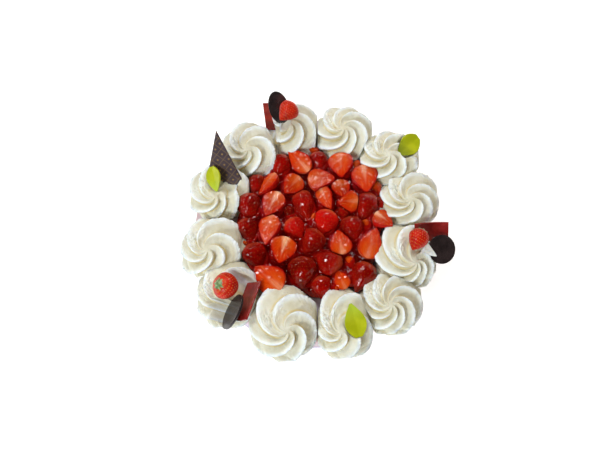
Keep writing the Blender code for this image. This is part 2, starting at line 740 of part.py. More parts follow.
def grow(body, amount):
    """Moves every point of a solid outward along its normal."""
    bmesh.ops.triangulate(body, faces=body.faces)
    bmesh.ops.recalc_face_normals(body, faces=body.faces)
    body.normal_update()
    moves = [vertex.normal * amount * min(vertex.calc_shell_factor(), 2.0) for vertex in body.verts]
    for vertex, move in zip(body.verts, moves):
        vertex.co += move


def make_rosettes(collection, cutters, bodies, pieces):
    """Rosette objects with slots and hollows where garnish is pushed in."""
    for row, body in zip(ROSETTES, bodies):
        rosette = mesh_object(row[0], body, collection, "whipped_cream", (row[1], row[2], ROSETTE_BASE))
        centre = np.array(row[1:3])
        for name, piece, _, _ in pieces:
            points = points_of(piece)
            near = np.linalg.norm(points[:, :2] - centre, axis=1).min()
            if near < max(row[3:5]) + 1.0 and points[:, 2].min() < ROSETTE_BASE + row[10] + 4.0:
                grown = piece.copy()
                grow(grown, GAP)
                mark_cutter(mesh_object("slot_" + name, grown, cutters))
        if cutters.objects:
            apply_boolean(rosette, cutters, "DIFFERENCE")
            tidy_solid(rosette)


def main():
    """Builds the whole tart."""
    tart, cutters = clear_scene()
    make_body(tart)
    rosettes = [rosette_body(row) for row in ROSETTES]
    ring = []
    for row, body in zip(ROSETTES, rosettes):
        points = points_of(body)
        ring.append((row[1:3], points[points[:, 2] < JELLY_OVERLAP_LEVEL]))
    berries = arrange_berries(ring)
    pieces = make_garnish()
    make_rosettes(tart, cutters, rosettes, pieces)
    for name, body, material, origin in pieces:
        mesh_object(name, body, tart, material, origin)
    for row in TOP_BERRIES:
        if row[-1]:
            mark_cutter(mesh_object("calyx_" + row[0], calyx_body(row), cutters))
            apply_boolean(tart.objects[row[0]], cutters, "UNION")
            tidy_solid(tart.objects[row[0]])
    for index, row in enumerate(BERRIES):
        kind, material = ("cut_berry", "cut_strawberry") if row[0] == "half" else ("round_berry", "strawberry_skin")
        origin = (row[1], row[2], JELLY_TOP)
        mesh_object("%s_%02d" % (kind, index + 1), berries[index].copy(), tart, material, origin)
    make_jelly(tart, cutters, berries, ring)


main()
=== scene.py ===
# %% [markdown]
# # A strawberry cream tart
# The tart is a round body of pink cream, a pool of jelly with cut and whole strawberries,
# a ring of twelve piped cream rosettes, and garnish pushed into the cream: strawberries,
# chocolate pieces and yellow-green sugar petals.  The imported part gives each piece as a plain
# solid.  Here each one gets its real surface, as a function of two parameters worked out with
# numpy, and a material.

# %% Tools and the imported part
import math

import bpy
import numpy as np
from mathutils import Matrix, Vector


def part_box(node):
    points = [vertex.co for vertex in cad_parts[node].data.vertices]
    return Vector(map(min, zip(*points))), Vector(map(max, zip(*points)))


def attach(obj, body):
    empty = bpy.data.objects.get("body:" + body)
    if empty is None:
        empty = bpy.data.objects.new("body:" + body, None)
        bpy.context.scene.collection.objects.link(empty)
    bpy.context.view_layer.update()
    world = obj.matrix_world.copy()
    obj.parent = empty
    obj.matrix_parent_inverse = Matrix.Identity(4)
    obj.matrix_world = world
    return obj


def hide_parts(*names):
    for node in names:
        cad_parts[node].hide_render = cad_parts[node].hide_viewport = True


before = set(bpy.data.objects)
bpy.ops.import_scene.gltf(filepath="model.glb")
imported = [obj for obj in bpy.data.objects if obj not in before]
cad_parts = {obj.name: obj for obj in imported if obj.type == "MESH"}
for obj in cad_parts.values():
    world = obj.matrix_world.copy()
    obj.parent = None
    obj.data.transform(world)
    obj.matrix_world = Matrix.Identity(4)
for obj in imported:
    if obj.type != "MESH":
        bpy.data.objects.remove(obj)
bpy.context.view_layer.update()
MM = 0.001
RING_SHIFT = np.array([0.0, -3.5, 0.0])
print("solids in the part:", len(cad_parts))

# %% [markdown]
# ## Surfaces from grids
# Every piece is a grid of points: a formula gives the place of row i and column j, and the
# faces follow from the grid's own numbering, so no face is listed by hand.  A closed piece
# runs round its columns and ends in a pole at either end, like a globe.  Its signed volume
# says whether the faces point outwards.  Values that a material needs, such as how high a
# point stands on a ridge, go into the mesh as attributes, one number for each point.

# %% Grid to mesh
def signed_volume(points, faces):
    """Six times the volume, the sum of v0 . (v1 x v2) over all triangles; below 0 facing inwards."""
    fans = [faces[:, [0, k, k + 1]] for k in range(1, faces.shape[1] - 1)]
    return sum(
        np.einsum("ij,ij->i", points[fan[:, 0]], np.cross(points[fan[:, 1]], points[fan[:, 2]])).sum()
        for fan in fans
    )


def fill_mesh(name, points, quads, fans, values):
    """Mesh in metres from points in millimetres, quads, triangles and the values at each point."""
    mesh = bpy.data.meshes.new(name)
    mesh.from_pydata((points * MM).tolist(), [], quads.tolist() + fans.tolist())
    for label, data in values.items():
        kind = "FLOAT" if data.ndim == 1 else "FLOAT_VECTOR"
        slot = mesh.attributes.new(label, kind, "POINT")
        slot.data.foreach_set("value" if data.ndim == 1 else "vector", data.astype(np.float32).ravel())
    mesh.shade_smooth()
    return mesh


def closed_mesh(name, points, values, start=None, end=None):
    """Closed mesh of a grid whose columns run round; its first and last rows each meet at a pole.

    A pole that isn't given is the mean of its row.
    """
    start = points[0].mean(0) if start is None else start
    end = points[-1].mean(0) if end is None else end
    rows, columns, _ = points.shape
    here = np.arange(rows * columns).reshape(rows, columns)
    after = np.roll(here, -1, axis=1)
    quads = np.stack([here[:-1], after[:-1], after[1:], here[1:]], -1).reshape(-1, 4)
    pole = np.full(columns, rows * columns)
    fans = np.concatenate([
        np.stack([after[0], here[0], pole], -1),
        np.stack([here[-1], after[-1], pole + 1], -1),
    ])
    solid = np.concatenate([points.reshape(-1, 3), [start, end]])
    middle = solid - solid.mean(0)
    if signed_volume(middle, quads) + signed_volume(middle, fans) < 0.0:
        quads = quads[:, ::-1]
        fans = fans[:, ::-1]
    ends = {}
    for label, data in values.items():
        flat = data.reshape(rows * columns, -1)
        ends[label] = np.concatenate([flat, [flat[:columns].mean(0), flat[-columns:].mean(0)]]).squeeze()
    return fill_mesh(name, solid, quads, fans, ends)


def serve(name, mesh, material, slot, *nodes):
    """Puts a finished mesh on the tart's one body, in place of the plain solids it stands for."""
    item = bpy.data.objects.new(name, mesh)
    bpy.context.scene.collection.objects.link(item)
    mesh.materials.append(material)
    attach(item, "root")
    if nodes:
        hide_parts(*nodes)
    return item


def serve_closed(name, points, values, material, slot, *nodes):
    """Serves the closed mesh of a grid."""
    return serve(name, closed_mesh(name, points, values), material, slot, *nodes)


# %% [markdown]
# Food is never quite even.  A smooth random field can be made from waves: many sine waves of
# about one length, each running in its own direction, add up to soft hills and hollows that
# don't repeat.  The directions come from a seeded generator, so each run gives the same tart.

# %% Soft unevenness
WAVES = 22
WAVE_SHARE = 0.6


def ripple(points, size, seed):
    """Sum of sin(2 pi p . d / length + phase) over seeded directions d; about -1 to 1."""
    rng = np.random.default_rng(seed)
    direction = rng.normal(size=(WAVES, 3))
    direction /= np.linalg.norm(direction, axis=1)[:, None]
    length = size * rng.uniform(0.75, 1.5, WAVES)
    phase = rng.uniform(0.0, 2.0 * math.pi, WAVES)
    waves = np.sin(points @ (2.0 * math.pi * direction / length[:, None]).T + phase)
    return waves.sum(-1) * WAVE_SHARE * math.sqrt(2.0 / WAVES)


def smooth(low, high, value):
    """Smooth step from 0 at low to 1 at high."""
    share = np.clip((value - low) / (high - low), 0.0, 1.0)
    return share * share * (3.0 - 2.0 * share)


def press(points, centre, normal, limit, depth, gap):
    """Squeezes points softly so that none passes the plane at the limit."""
    ahead = (points - centre) @ normal - limit
    beyond = np.maximum(ahead + depth, 0.0)
    eased = (depth - gap) * (1.0 - np.exp(-beyond / (depth - gap)))
    return points - (beyond - eased)[..., None] * normal


# %% [markdown]
# ## Materials
# A Principled shader carries each food.  What several foods share is a node group: `mottle`
# gives two colours that drift into each other with a fine grain on top, as in cream, jelly
# and chocolate.  Colours that follow the shape read the attributes that the grids carry.

# %% Node helpers
def place(tree, kind, settings=None, **inputs):
    """Adds a node; an input takes a value or a link, and _0, _1 name inputs by number."""
    made = tree.nodes.new(kind)
    for label, value in (settings or {}).items():
        setattr(made, label, value)
    for label, value in inputs.items():
        numbered = label.startswith("_")
        socket = made.inputs[int(label[1:])] if numbered else made.inputs[label.replace("_", " ")]
        if isinstance(value, bpy.types.NodeSocket):
            tree.links.new(value, socket)
        else:
            socket.default_value = value
    return made


def maths(tree, operation, first, second=0.0):
    """One step of arithmetic on values or links."""
    step = place(tree, "ShaderNodeMath", {"operation": operation}, _0=first, _1=second)
    return step.outputs[0]


def times(tree, first, second):
    """Product of two values or links."""
    return maths(tree, "MULTIPLY", first, second)


def inverse(tree, mask):
    """1 - mask."""
    return maths(tree, "SUBTRACT", 1.0, mask)


def span(tree, value, low, high):
    """Smooth mask: 0 where value is at or under low, 1 at or over high."""
    settings = {"interpolation_type": "SMOOTHSTEP"}
    return place(tree, "ShaderNodeMapRange", settings, _0=value, _1=low, _2=high).outputs[0]


def blend(tree, mask, low, high):
    """Colour between low and high, each a colour or a link."""
    settings = {"data_type": "RGBA"}
    mixed = place(tree, "ShaderNodeMix", settings, _0=mask, _6=colour(low), _7=colour(high))
    return mixed.outputs[2]


def colour(value):
    """A plain colour gets its alpha; a link stays a link."""
    return (*value, 1.0) if isinstance(value, tuple) else value


def tinted(tree, base, mask, share, tint):
    """Moves the base a share of the way to the tint where the mask is 1."""
    return blend(tree, times(tree, mask, share), base, tint)


def reading(tree, label):
    """The three parts of an attribute, and its plain value."""
    source = place(tree, "ShaderNodeAttribute", {"attribute_name": label})
    parts = place(tree, "ShaderNodeSeparateXYZ", _0=source.outputs["Vector"])
    return parts.outputs[0], parts.outputs[1], parts.outputs[2], source.outputs["Fac"]


def new_group(name, inputs, outputs):
    """Empty shader node group with named sockets, and its two ends."""
    group = bpy.data.node_groups.new(name, "ShaderNodeTree")
    for label, kind, value in inputs:
        group.interface.new_socket(label, in_out="INPUT", socket_type=kind).default_value = value
    for label, kind in outputs:
        group.interface.new_socket(label, in_out="OUTPUT", socket_type=kind)
    return group, group.nodes.new("NodeGroupInput"), group.nodes.new("NodeGroupOutput")


def new_material(name, **sockets):
    """Material with one Principled shader whose plain sockets are set from the keywords."""
    material = bpy.data.materials.new(name)
    material.use_nodes = True
    shader = material.node_tree.nodes["Principled BSDF"]
    for label, value in sockets.items():
        shader.inputs[label.replace("_", " ")].default_value = value
    return material, material.node_tree, shader


def soft(weight, radius, scale):
    """Socket values for light that scatters inside."""
    return {"Subsurface_Weight": weight, "Subsurface_Radius": radius, "Subsurface_Scale": scale}


def finish_with(tree, shader, base, height, distance, strength):
    """Links the colour, and the height as a bump, to the shader."""
    bump = place(tree, "ShaderNodeBump", Strength=strength, Distance=distance, Height=height)
    tree.links.new(base, shader.inputs["Base Color"])
    tree.links.new(bump.outputs[0], shader.inputs["Normal"])


# %% Group: mottle
COLOUR, NUMBER = "NodeSocketColor", "NodeSocketFloat"


def make_mottle():
    """Two drifting colours: noise of a large scale mixes them, noise of a fine scale is the grain."""
    group, given, result = new_group(
        "mottle",
        [("Dark", COLOUR, (0.5, 0.5, 0.5, 1.0)), ("Light", COLOUR, (0.8, 0.8, 0.8, 1.0)),
         ("Patch", NUMBER, 60.0), ("Grain", NUMBER, 900.0)],
        [("Color", COLOUR), ("Height", NUMBER)],
    )
    where = place(group, "ShaderNodeTexCoord").outputs["Object"]
    patch = place(group, "ShaderNodeTexNoise", _0=where, Scale=given.outputs["Patch"], Detail=4.0)
    grain = place(group, "ShaderNodeTexNoise", _0=where, Scale=given.outputs["Grain"], Detail=3.0)
    mask = span(group, patch.outputs[0], 0.36, 0.64)
    mixed = blend(group, mask, given.outputs["Dark"], given.outputs["Light"])
    group.links.new(mixed, result.inputs["Color"])
    group.links.new(grain.outputs[0], result.inputs["Height"])
    return group


MOTTLE = make_mottle()


def mottle(tree, dark, light, patch, grain):
    """Places the mottle group; gives its colour and its height."""
    inputs = {"Dark": colour(dark), "Light": colour(light), "Patch": patch, "Grain": grain}
    made = place(tree, "ShaderNodeGroup", {"node_tree": MOTTLE}, **inputs)
    return made.outputs["Color"], made.outputs["Height"]


def two_tone(name, dark, light, patch, grain, distance, strength, **sockets):
    """Material that is one mottle, with its grain as bump."""
    material, tree, shader = new_material(name, **sockets)
    base, height = mottle(tree, dark, light, patch, grain)
    finish_with(tree, shader, base, height, distance, strength)
    return material


# %% [markdown]
# ## Cream
# Whipped cream scatters light inside itself, and a little subsurface scattering gives the
# softness.  Light and shade are also painted into its colour from the ridge attribute: a cool,
# nearly white painted light on the thin crests and a warm yellow painted shade deep in the
# folds, drifting from warm hollow to white crest across each arm.

# %% Whipped cream and pink cream
def make_whipped_cream():
    """Painted light in cool white on the crests, painted shade in butter yellow in the folds, with a fine
    airy grain.
    """
    material, tree, shader = new_material(
        "whipped_cream", Roughness=0.55, **soft(0.22, (1.0, 0.75, 0.45), 0.004)
    )
    ridge, crumb, painted_fold_shade, _ = reading(tree, "piping")
    white, height = mottle(tree, (0.66, 0.62, 0.47), (0.72, 0.70, 0.58), 90.0, 1100.0)
    # Painted light: the crests turn a cool near-white.
    base = blend(tree, span(tree, ridge, 0.45, 0.95), white, (0.86, 0.91, 0.92))
    # Painted shade: the folds deep inside each arm turn butter yellow.
    base = tinted(tree, base, painted_fold_shade, 0.85, (0.70, 0.55, 0.22))
    base = tinted(tree, base, crumb, 0.6, (0.86, 0.87, 0.83))
    finish_with(tree, shader, base, height, 0.00035, 0.55)
    return material


whipped_cream = make_whipped_cream()
# The pink cream drifts at random into lilac, which is the same pink under painted bluish shade.
pink_cream = two_tone(
    "pink_cream", (0.56, 0.50, 0.64), (0.66, 0.49, 0.52), 22.0, 700.0, 0.0004, 0.5,
    Roughness=0.6, **soft(0.15, (1.0, 0.6, 0.5), 0.003),
)

# %% [markdown]
# ## The cream body
# A palette knife drawn round the turning tart leaves a smooth wall with faint bands.  The
# surface is a half section carried round the axis: the first parameter runs along the
# section, the second is the angle.

# %% Body surface
BODY_RADIUS = 113.0
BODY_TOP = 42.0
BODY_EDGE = 4.0
BODY_COLUMNS = 288
TOP_POINTS = 14
EDGE_POINTS = 9
WALL_POINTS = 43


def body_surface():
    """(R(s) cos a, R(s) sin a, Z(s)): top, rounded edge, wall and foot, with faint knife bands."""
    reach = np.linspace(2.0, BODY_RADIUS - BODY_EDGE, TOP_POINTS)
    top = np.stack([reach, np.full(TOP_POINTS, BODY_TOP)], 1)
    bend = np.radians(np.linspace(8.0, 90.0, EDGE_POINTS))
    edge = np.stack([
        BODY_RADIUS - BODY_EDGE + BODY_EDGE * np.sin(bend),
        BODY_TOP - BODY_EDGE + BODY_EDGE * np.cos(bend),
    ], 1)
    low = np.linspace(BODY_TOP - BODY_EDGE - 1.0, 1.0, WALL_POINTS)
    wall = np.stack([np.full(low.size, BODY_RADIUS), low], 1)
    foot = np.array([[BODY_RADIUS - 0.8, 0.0], [BODY_RADIUS - 8.0, 0.0], [60.0, 0.0], [2.0, 0.0]])
    section = np.concatenate([top, edge, wall, foot])
    angle = np.linspace(0.0, 2.0 * math.pi, BODY_COLUMNS, endpoint=False)
    radius, level = np.broadcast_arrays(section[:, :1], section[:, 1:])
    points = np.stack([
        radius * np.cos(angle), radius * np.sin(angle), level + 0.0 * angle[None, :],
    ], -1)
    bands = 0.30 * np.sin(level * 1.1 + 1.5 * ripple(points * (1, 1, 0.3), 60.0, 3))
    rough = bands + 0.30 * ripple(points * (1, 1, 2.5), 22.0, 5) - 0.55
    side = smooth(BODY_RADIUS - 6.0, BODY_RADIUS, radius) * smooth(0.0, 2.0, level)
    points[..., :2] *= (1.0 + side * np.minimum(rough, 0.0) / BODY_RADIUS)[..., None]
    points[..., 2] += 0.25 * (ripple(points, 18.0, 7) - 1.0) * smooth(41.0, 42.0, level)
    print("body section points:", len(section))
    return points


body_points = body_surface()
body_mesh = closed_mesh("pink_body", body_points, {}, (0, 0, BODY_TOP - 0.3), (0, 0, 0))
serve("pink_body", body_mesh, pink_cream, "pink_cream", "cream_body")

# %% [markdown]
# ## Where the garnish stands
# Plates, ovals, petals and the pointed piece are flat, so a place, a facing, a rise and a spin
# say how each one stands.  The cream needs the same numbers: a piece that is pushed in presses
# the cream behind it, and none of it shows through the front.

# %% Garnish tables
# number, centre x, y, z, facing, rise, spin, length, width
PLATES = (
    (1, -37.5, 109.5, 57.5, -104, 28, 100, 30.0, 21.0),
    (2, 108.5, -16.5, 57.5, -97, 39, 101, 31.0, 30.0),
    (3, -56.0, -76.0, 59.0, 156, 41, 101, 20.0, 36.5),
)
PLATE_THICK = 1.5
PLATE_BOW = 1.2
OVALS = (
    (1, -32.5, 109.5, 74.0, -80, 38, 98, 33.0, 19.5),
    (2, 115.5, -30.0, 63.0, -40, 64, 140, 27.5, 26.0),
    (3, -68.5, -86.0, 62.5, 168, 38, 150, 33.0, 21.0),
)
OVAL_THICK = 2.2
PETALS = (
    (1, 92.5, 76.5, 58.5, -60, 58, 13, 27.0, 20.5),
    (2, 35.5, -94.0, 68.5, -70, 72, -94, 29.0, 18.5),
    (3, -91.0, 36.5, 68.5, 215, 50, 152, 23.5, 17.0),
)
PETAL_THICK = 1.2
PETAL_FOLD = 0.16
SHARD = (1, -82.5, 53.0, 76.5, -95, 40, 100)
SHARD_CORNERS = ((-1.0, 28.0), (13.5, -21.5), (3.5, -31.5), (-16.5, -10.5))
SHARD_THICK = 2.0
SHARD_FOOT = (1, -81.5, 44.5, 66.0, -95, 40, 100, 34.0, 26.0)
OVAL, SQUARE = 2.0, 12.0
THROUGH = 40.0
SHEET_MARGIN = 1.1
# rosette, sheet that is pushed into it, corner of the sheet's outline, depth
PUSHED_IN = (
    (1, PLATES[0], SQUARE, 16.0),
    (1, OVALS[0], OVAL, THROUGH),
    (3, PETALS[0], OVAL, THROUGH),
    (5, PLATES[1], SQUARE, 4.5),
    (5, OVALS[1], OVAL, 4.5),
    (7, PETALS[1], OVAL, THROUGH),
    (9, PLATES[2], SQUARE, 24.0),
    (9, OVALS[2], OVAL, THROUGH),
    (11, PETALS[2], OVAL, THROUGH),
    (11, SHARD_FOOT, OVAL, 12.0),
)
# rosette, middle x and y of the strawberry on it, rise of the cream that carries the strawberry
CARRYING = (
    (1, -24.0, 100.0, 1.5),
    (9, -78.0, -67.0, 1.6),
)
CARRYING_WIDTH = 9.0
CARRYING_LEVELS = (50.0, 58.0)


def plane_axes(row):
    """Rows are the directions across and along the sheet and out of its face."""
    turn, lift, roll = (math.radians(value) for value in row[4:7])
    face = np.array([math.cos(turn) * math.cos(lift), math.sin(turn) * math.cos(lift), math.sin(lift)])
    side = np.array([-math.sin(turn), math.cos(turn), 0.0])
    along = math.cos(roll) * side + math.sin(roll) * np.cross(face, side)
    return np.stack([np.cross(along, face), along, face])


def step_back(points, row, corner, depth, behind):
    """Moves cream less than a depth ahead of a sheet straight back until it is behind the sheet.

    The outline is |across / a| ** corner + |along / b| ** corner = 1, so 2 is an oval and a
    large number is a rectangle.  Cream farther ahead stays and hides the sheet's lower part.
    """
    axes = plane_axes(row)
    local = (points - row[1:4]) @ axes.T
    half = np.array([row[8], row[7]]) / 2.0
    across, along = np.abs(local[..., 0] / half[0]), np.abs(local[..., 1] / half[1])
    size = (across ** corner + along ** corner) ** (1.0 / corner)
    inside = 1.0 - smooth(1.0, 1.0 + SHEET_MARGIN / half.min(), size)
    ahead = np.maximum(local[..., 2] + behind, 0.0)
    pushed = ahead * (1.0 - smooth(depth, 2.0 * depth, ahead))
    return points - (inside * pushed)[..., None] * axes[2]


def carry(points, x, y, rise):
    """Lifts the top of the cream by rise * exp(-(d / width) ** 2), d the way from x, y in plan."""
    away = np.hypot(points[..., 0] - x, points[..., 1] - y)
    lift = rise * np.exp(-(away / CARRYING_WIDTH) ** 2) * smooth(*CARRYING_LEVELS, points[..., 2])
    return points + lift[..., None] * (0.0, 0.0, 1.0)


# %% [markdown]
# ## Piped rosettes
# A star tip pressed onto the cake and turned once leaves a dome of curling arms.  Seen from
# above, every arm starts at the swirl point and swings clockwise on its way to the rim.  Each
# has a long hollow slope on its inner side and a short steep face on its outer side, and the
# thin crest between them tears into small feathers as the stiff cream leaves the tip.
# The grid follows the arms: its columns are lines of constant place across an arm, its rows
# run from the swirl point out and down to the foot.

# %% Rosette table and measures
ROSETTE_BASE = 42.3
EQUATOR_SHARE = 0.74
EQUATOR_HEIGHT = 7.5
TUCK = 0.12
RIDGE_DEPTH = 6.6
STEEP = 0.17
CURL = 0.6
LEAN = 0.10
MIDDLE = 0.65
RIDGE_MIDDLE = 0.64
SEAM = (-12.0, 11.0)
SEAM_WIDTH = 9.0
FEATHER = 1.7
TEAR = 1.5
RIM_ROOM = 1.0
ROOM_BESIDE = 1.0
OVERLAP = 0.6
NEIGHBOUR_GAP = 8.0
PRESS_DEPTH = 2.2
PRESS_GAP = 0.1
BEHIND_SHEET = 1.3
ROSETTE_ROWS = 92
ROSETTE_COLUMNS = 288

# number, centre x, centre y, half width, half depth, swirl x, swirl y, arms, turn, start, height
ROSETTES = (
    (1, -20.5, 98.0, 27.0, 28.5, -3.0, -3.5, 6, 215, 10, 28.0),
    (2, 31.0, 93.5, 28.0, 28.5, -1.5, -3.5, 7, 200, 4, 27.0),
    (3, 74.5, 66.0, 28.0, 28.0, -3.0, -3.5, 7, 200, 22, 26.5),
    (4, 91.5, 22.5, 28.5, 26.0, -2.0, -6.5, 7, 205, 0, 26.0),
    (5, 84.0, -33.0, 28.0, 30.5, 6.5, -10.5, 7, 205, 15, 27.5),
    (6, 68.5, -76.0, 27.5, 27.0, -2.0, -5.0, 8, 190, 8, 27.0),
    (7, 28.0, -93.5, 25.5, 29.5, -4.5, -10.0, 6, 200, 18, 26.0),
    (8, -25.0, -92.5, 30.5, 31.5, 4.0, -11.0, 6, 215, 30, 28.5),
    (9, -74.0, -67.0, 28.5, 30.0, -4.5, -8.5, 6, 210, 12, 25.5),
    (10, -92.0, -25.0, 28.5, 28.5, -2.0, -7.5, 6, 215, 26, 27.5),
    (11, -89.0, 31.0, 28.0, 28.5, -1.0, -11.0, 6, 210, 2, 26.0),
    (12, -61.0, 76.0, 27.5, 28.5, -1.5, -9.0, 6, 215, 16, 26.5),
)


# %% Rosette surface
def outline_reach(angle, swirl, half):
    """Distance r from the swirl point s to the ellipse: |(s + r d) / half| = 1, solved for r."""
    along = np.stack([np.cos(angle) / half[0], np.sin(angle) / half[1]], -1)
    start = np.array([swirl[0] / half[0], swirl[1] / half[1]])
    square = (along ** 2).sum(-1)
    cross = (along * start).sum(-1)
    return (-cross + np.sqrt(cross ** 2 - square * (start @ start - 1.0))) / square


def dome(share, height):
    """Reach, level and lean of the side: a quarter turn to the widest ring, then a tuck under."""
    upper = share <= EQUATOR_SHARE
    rise = np.where(upper, share / EQUATOR_SHARE, 1.0) * math.pi / 2.0
    under = np.where(upper, 0.0, (share - EQUATOR_SHARE) / (1.0 - EQUATOR_SHARE)) * math.pi / 2.0
    reach = np.sin(rise) ** 0.92 - TUCK * (1.0 - np.cos(under))
    level = EQUATOR_HEIGHT + (height - EQUATOR_HEIGHT) * np.cos(rise) ** 0.80
    level = np.where(upper, level, EQUATOR_HEIGHT * (1.0 - np.sin(under)))
    return reach, level, rise


def arm_section(turnwise):
    """Height across one arm: a steep outer face, (1 - t / b) ** 0.8, then a hollow slope, t ** 1.5."""
    face = np.clip(1.0 - turnwise / STEEP, 0.0, 1.0) ** 0.8
    slope = np.clip((turnwise - STEEP) / (1.0 - STEEP), 0.0, 1.0) ** 1.5
    section = np.maximum(slope, face)
    return (np.roll(section, 1) + 2.0 * section + np.roll(section, -1)) / 4.0


def rosette_surface(row):
    """Swirl point + r(share, angle) outward, angle = first - turn * share ** 0.6, plus ridges."""
    number, x, y, half_x, half_y, swirl_x, swirl_y, arms, turn, start, height = row
    place_round = np.arange(ROSETTE_COLUMNS) / ROSETTE_COLUMNS
    first = np.radians(start) + 2.0 * math.pi * place_round
    turnwise = (place_round * arms) % 1.0
    section = arm_section(turnwise)
    uneven = 1.0 + 0.16 * np.sin(2.0 * first + start) + 0.10 * np.sin(5.0 * first + x)
    share = np.linspace(0.010, 1.0, ROSETTE_ROWS)
    reach, level, lean = dome(share, height)
    grown = smooth(0.0, 0.22, share) * (1.0 - 0.45 * smooth(EQUATOR_SHARE, 1.0, share))
    angle = first[None, :] - math.radians(turn) * share[:, None] ** CURL
    angle = angle - LEAN * grown[:, None] * (section - 0.5)[None, :]
    outline = outline_reach(angle, (swirl_x, swirl_y), (half_x, half_y)) + RIM_ROOM
    outline = outline * (1.0 + 0.02 * np.sin(2.0 * angle + y) + 0.015 * np.sin(3.0 * angle + x))
    plan_x = swirl_x + reach[:, None] * outline * np.cos(angle)
    plan_y = swirl_y + reach[:, None] * outline * np.sin(angle)
    round_middle = np.clip(np.hypot(plan_x / half_x, plan_y / half_y), 0.0, 1.0)
    middle_level = EQUATOR_HEIGHT + (height - EQUATOR_HEIGHT) * (1.0 - round_middle ** 2.17) ** 0.40
    over = (share <= EQUATOR_SHARE)[:, None]
    level = np.where(over, (1.0 - MIDDLE) * level[:, None] + MIDDLE * middle_level, level[:, None])
    smooth_side = np.stack([plan_x, plan_y, level], -1)
    gone = np.linalg.norm(np.diff(smooth_side, axis=0), axis=-1)
    gone = np.concatenate([np.zeros((1, ROSETTE_COLUMNS)), np.cumsum(gone, axis=0)])
    crest = section[None, :] ** 3 * smooth(0.05, 0.30, share)[:, None]
    torn = np.abs(np.sin(math.pi * gone / FEATHER + 1.4 * ripple(smooth_side, 6.0, number)))
    seam = np.hypot(plan_x - swirl_x - SEAM[0], plan_y - swirl_y - SEAM[1])
    crumb = np.exp(-(seam / SEAM_WIDTH) ** 2) * smooth(0.10, 0.25, share)[:, None]
    ridge = (section * uneven - RIDGE_MIDDLE)[None, :]
    raised = RIDGE_DEPTH * grown[:, None] * ridge * (1.0 - 0.65 * crumb)
    raised = raised - TEAR * crest * (1.0 - torn) + 0.22 * ripple(smooth_side, 5.0, 20 + number)
    grainy = 0.12 + 0.20 * smooth(0.35, 0.70, share)
    raised = raised + grainy[:, None] * ripple(smooth_side, 1.9, 60 + number)
    raised = raised + crumb * (1.8 - 1.8 * np.abs(ripple(smooth_side, 5.0, 40 + number)))
    raised = raised - 2.6 * crumb * np.abs(ripple(smooth_side, 2.8, 80 + number))
    raised = raised * smooth(-0.02, 0.06, share)[:, None]
    outward = reach[:, None] * outline + np.sin(lean)[:, None] * raised
    up = ROSETTE_BASE + level + (np.cos(lean) * (share < 0.97))[:, None] * raised
    points = np.stack([
        x + swirl_x + outward * np.cos(angle),
        y + swirl_y + outward * np.sin(angle),
        np.maximum(up, ROSETTE_BASE),
    ], -1)
    # Mask of painted shade in the fold just inside each arm's steep face.
    painted_fold_shade = np.exp(-((turnwise - STEEP - 0.04) / 0.09) ** 2)
    # The crest share paints light into the cream's colour, the crumb marks crumbs, and the fold mask paints
    # shade.
    looks = np.stack([section[None, :] * grown[:, None], crumb, painted_fold_shade[None, :] * grown[:, None]], -1)
    return points, looks


def beside(row):
    """Planes where a rosette presses against its neighbours: halfway between the two rims."""
    planes = []
    for other in ROSETTES:
        across = np.array([other[1] - row[1], other[2] - row[2], 0.0])
        distance = np.linalg.norm(across)
        if distance == 0.0:
            continue
        normal = across / distance
        mine = math.hypot(normal[0] * row[3], normal[1] * row[4])
        theirs = math.hypot(normal[0] * other[3], normal[1] * other[4])
        if mine + theirs > distance - NEIGHBOUR_GAP:
            planes.append((normal, (distance + mine - theirs) / 2.0 + OVERLAP))
    return planes


def pipe_rosette(row):
    """One rosette, pressed against its neighbours and kept inside its solid's box."""
    points, looks = rosette_surface(row)
    for normal, limit in beside(row):
        points = press(points, (row[1], row[2], 0.0), normal, limit, PRESS_DEPTH, PRESS_GAP)
    for number, sheet, corner, depth in PUSHED_IN:
        if number == row[0]:
            points = step_back(points, sheet, corner, depth, BEHIND_SHEET)
    low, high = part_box("rosette_%02d" % row[0])
    room = (ROOM_BESIDE, ROOM_BESIDE, 0.0)
    points = np.clip(points + RING_SHIFT, np.array(low) / MM - room, np.array(high) / MM + room)
    for number, berry_x, berry_y, rise in CARRYING:
        if number == row[0]:
            points = carry(points, berry_x, berry_y + RING_SHIFT[1], rise)
    name, node = "piped_rosette_%02d" % row[0], "rosette_%02d" % row[0]
    item = serve_closed(name, points, {"piping": looks}, whipped_cream, "whipped_cream", node)
    return len(item.data.polygons)


print("faces in the rosettes:", sum(pipe_rosette(row) for row in ROSETTES))

# %% [markdown]
# Where the tip was pulled away sideways, a flat tongue of cream stayed behind beside one
# rosette's garnish.  It is an oval section that shrinks along a straight line to a thin point.

# %% Cream tongue
TONGUE_ROOT = np.array([98.0, -30.0, 69.0])
TONGUE_TIP = np.array([109.6, -37.8, 67.5])
TONGUE_HALF = (6.2, 2.2)
# Crest share (painted light), crumb and painted fold shade for the tongue's cream.
TONGUE_LIGHT_CRUMB_SHADE = (0.75, 0.4, 0.0)


def tongue_surface():
    """Root + s (tip - root) + (1 - s) ** 0.8 (W cos a side + H sin a up), with a torn edge."""
    share = np.linspace(0.0, 0.985, 44)[:, None, None]
    angle = np.linspace(0.0, 2.0 * math.pi, 72, endpoint=False)[None, :, None]
    along = TONGUE_TIP - TONGUE_ROOT
    side = np.cross(along, (0.0, 0.0, 1.0))
    side /= np.linalg.norm(side)
    up = np.cross(side, along)
    up /= np.linalg.norm(up)
    narrow = (1.0 - share) ** 0.8
    section = TONGUE_HALF[0] * np.cos(angle) * side + TONGUE_HALF[1] * np.sin(angle) * up
    points = TONGUE_ROOT + share * along + narrow * section
    return points + 0.35 * narrow * ripple(points, 2.6, 31)[..., None] * up


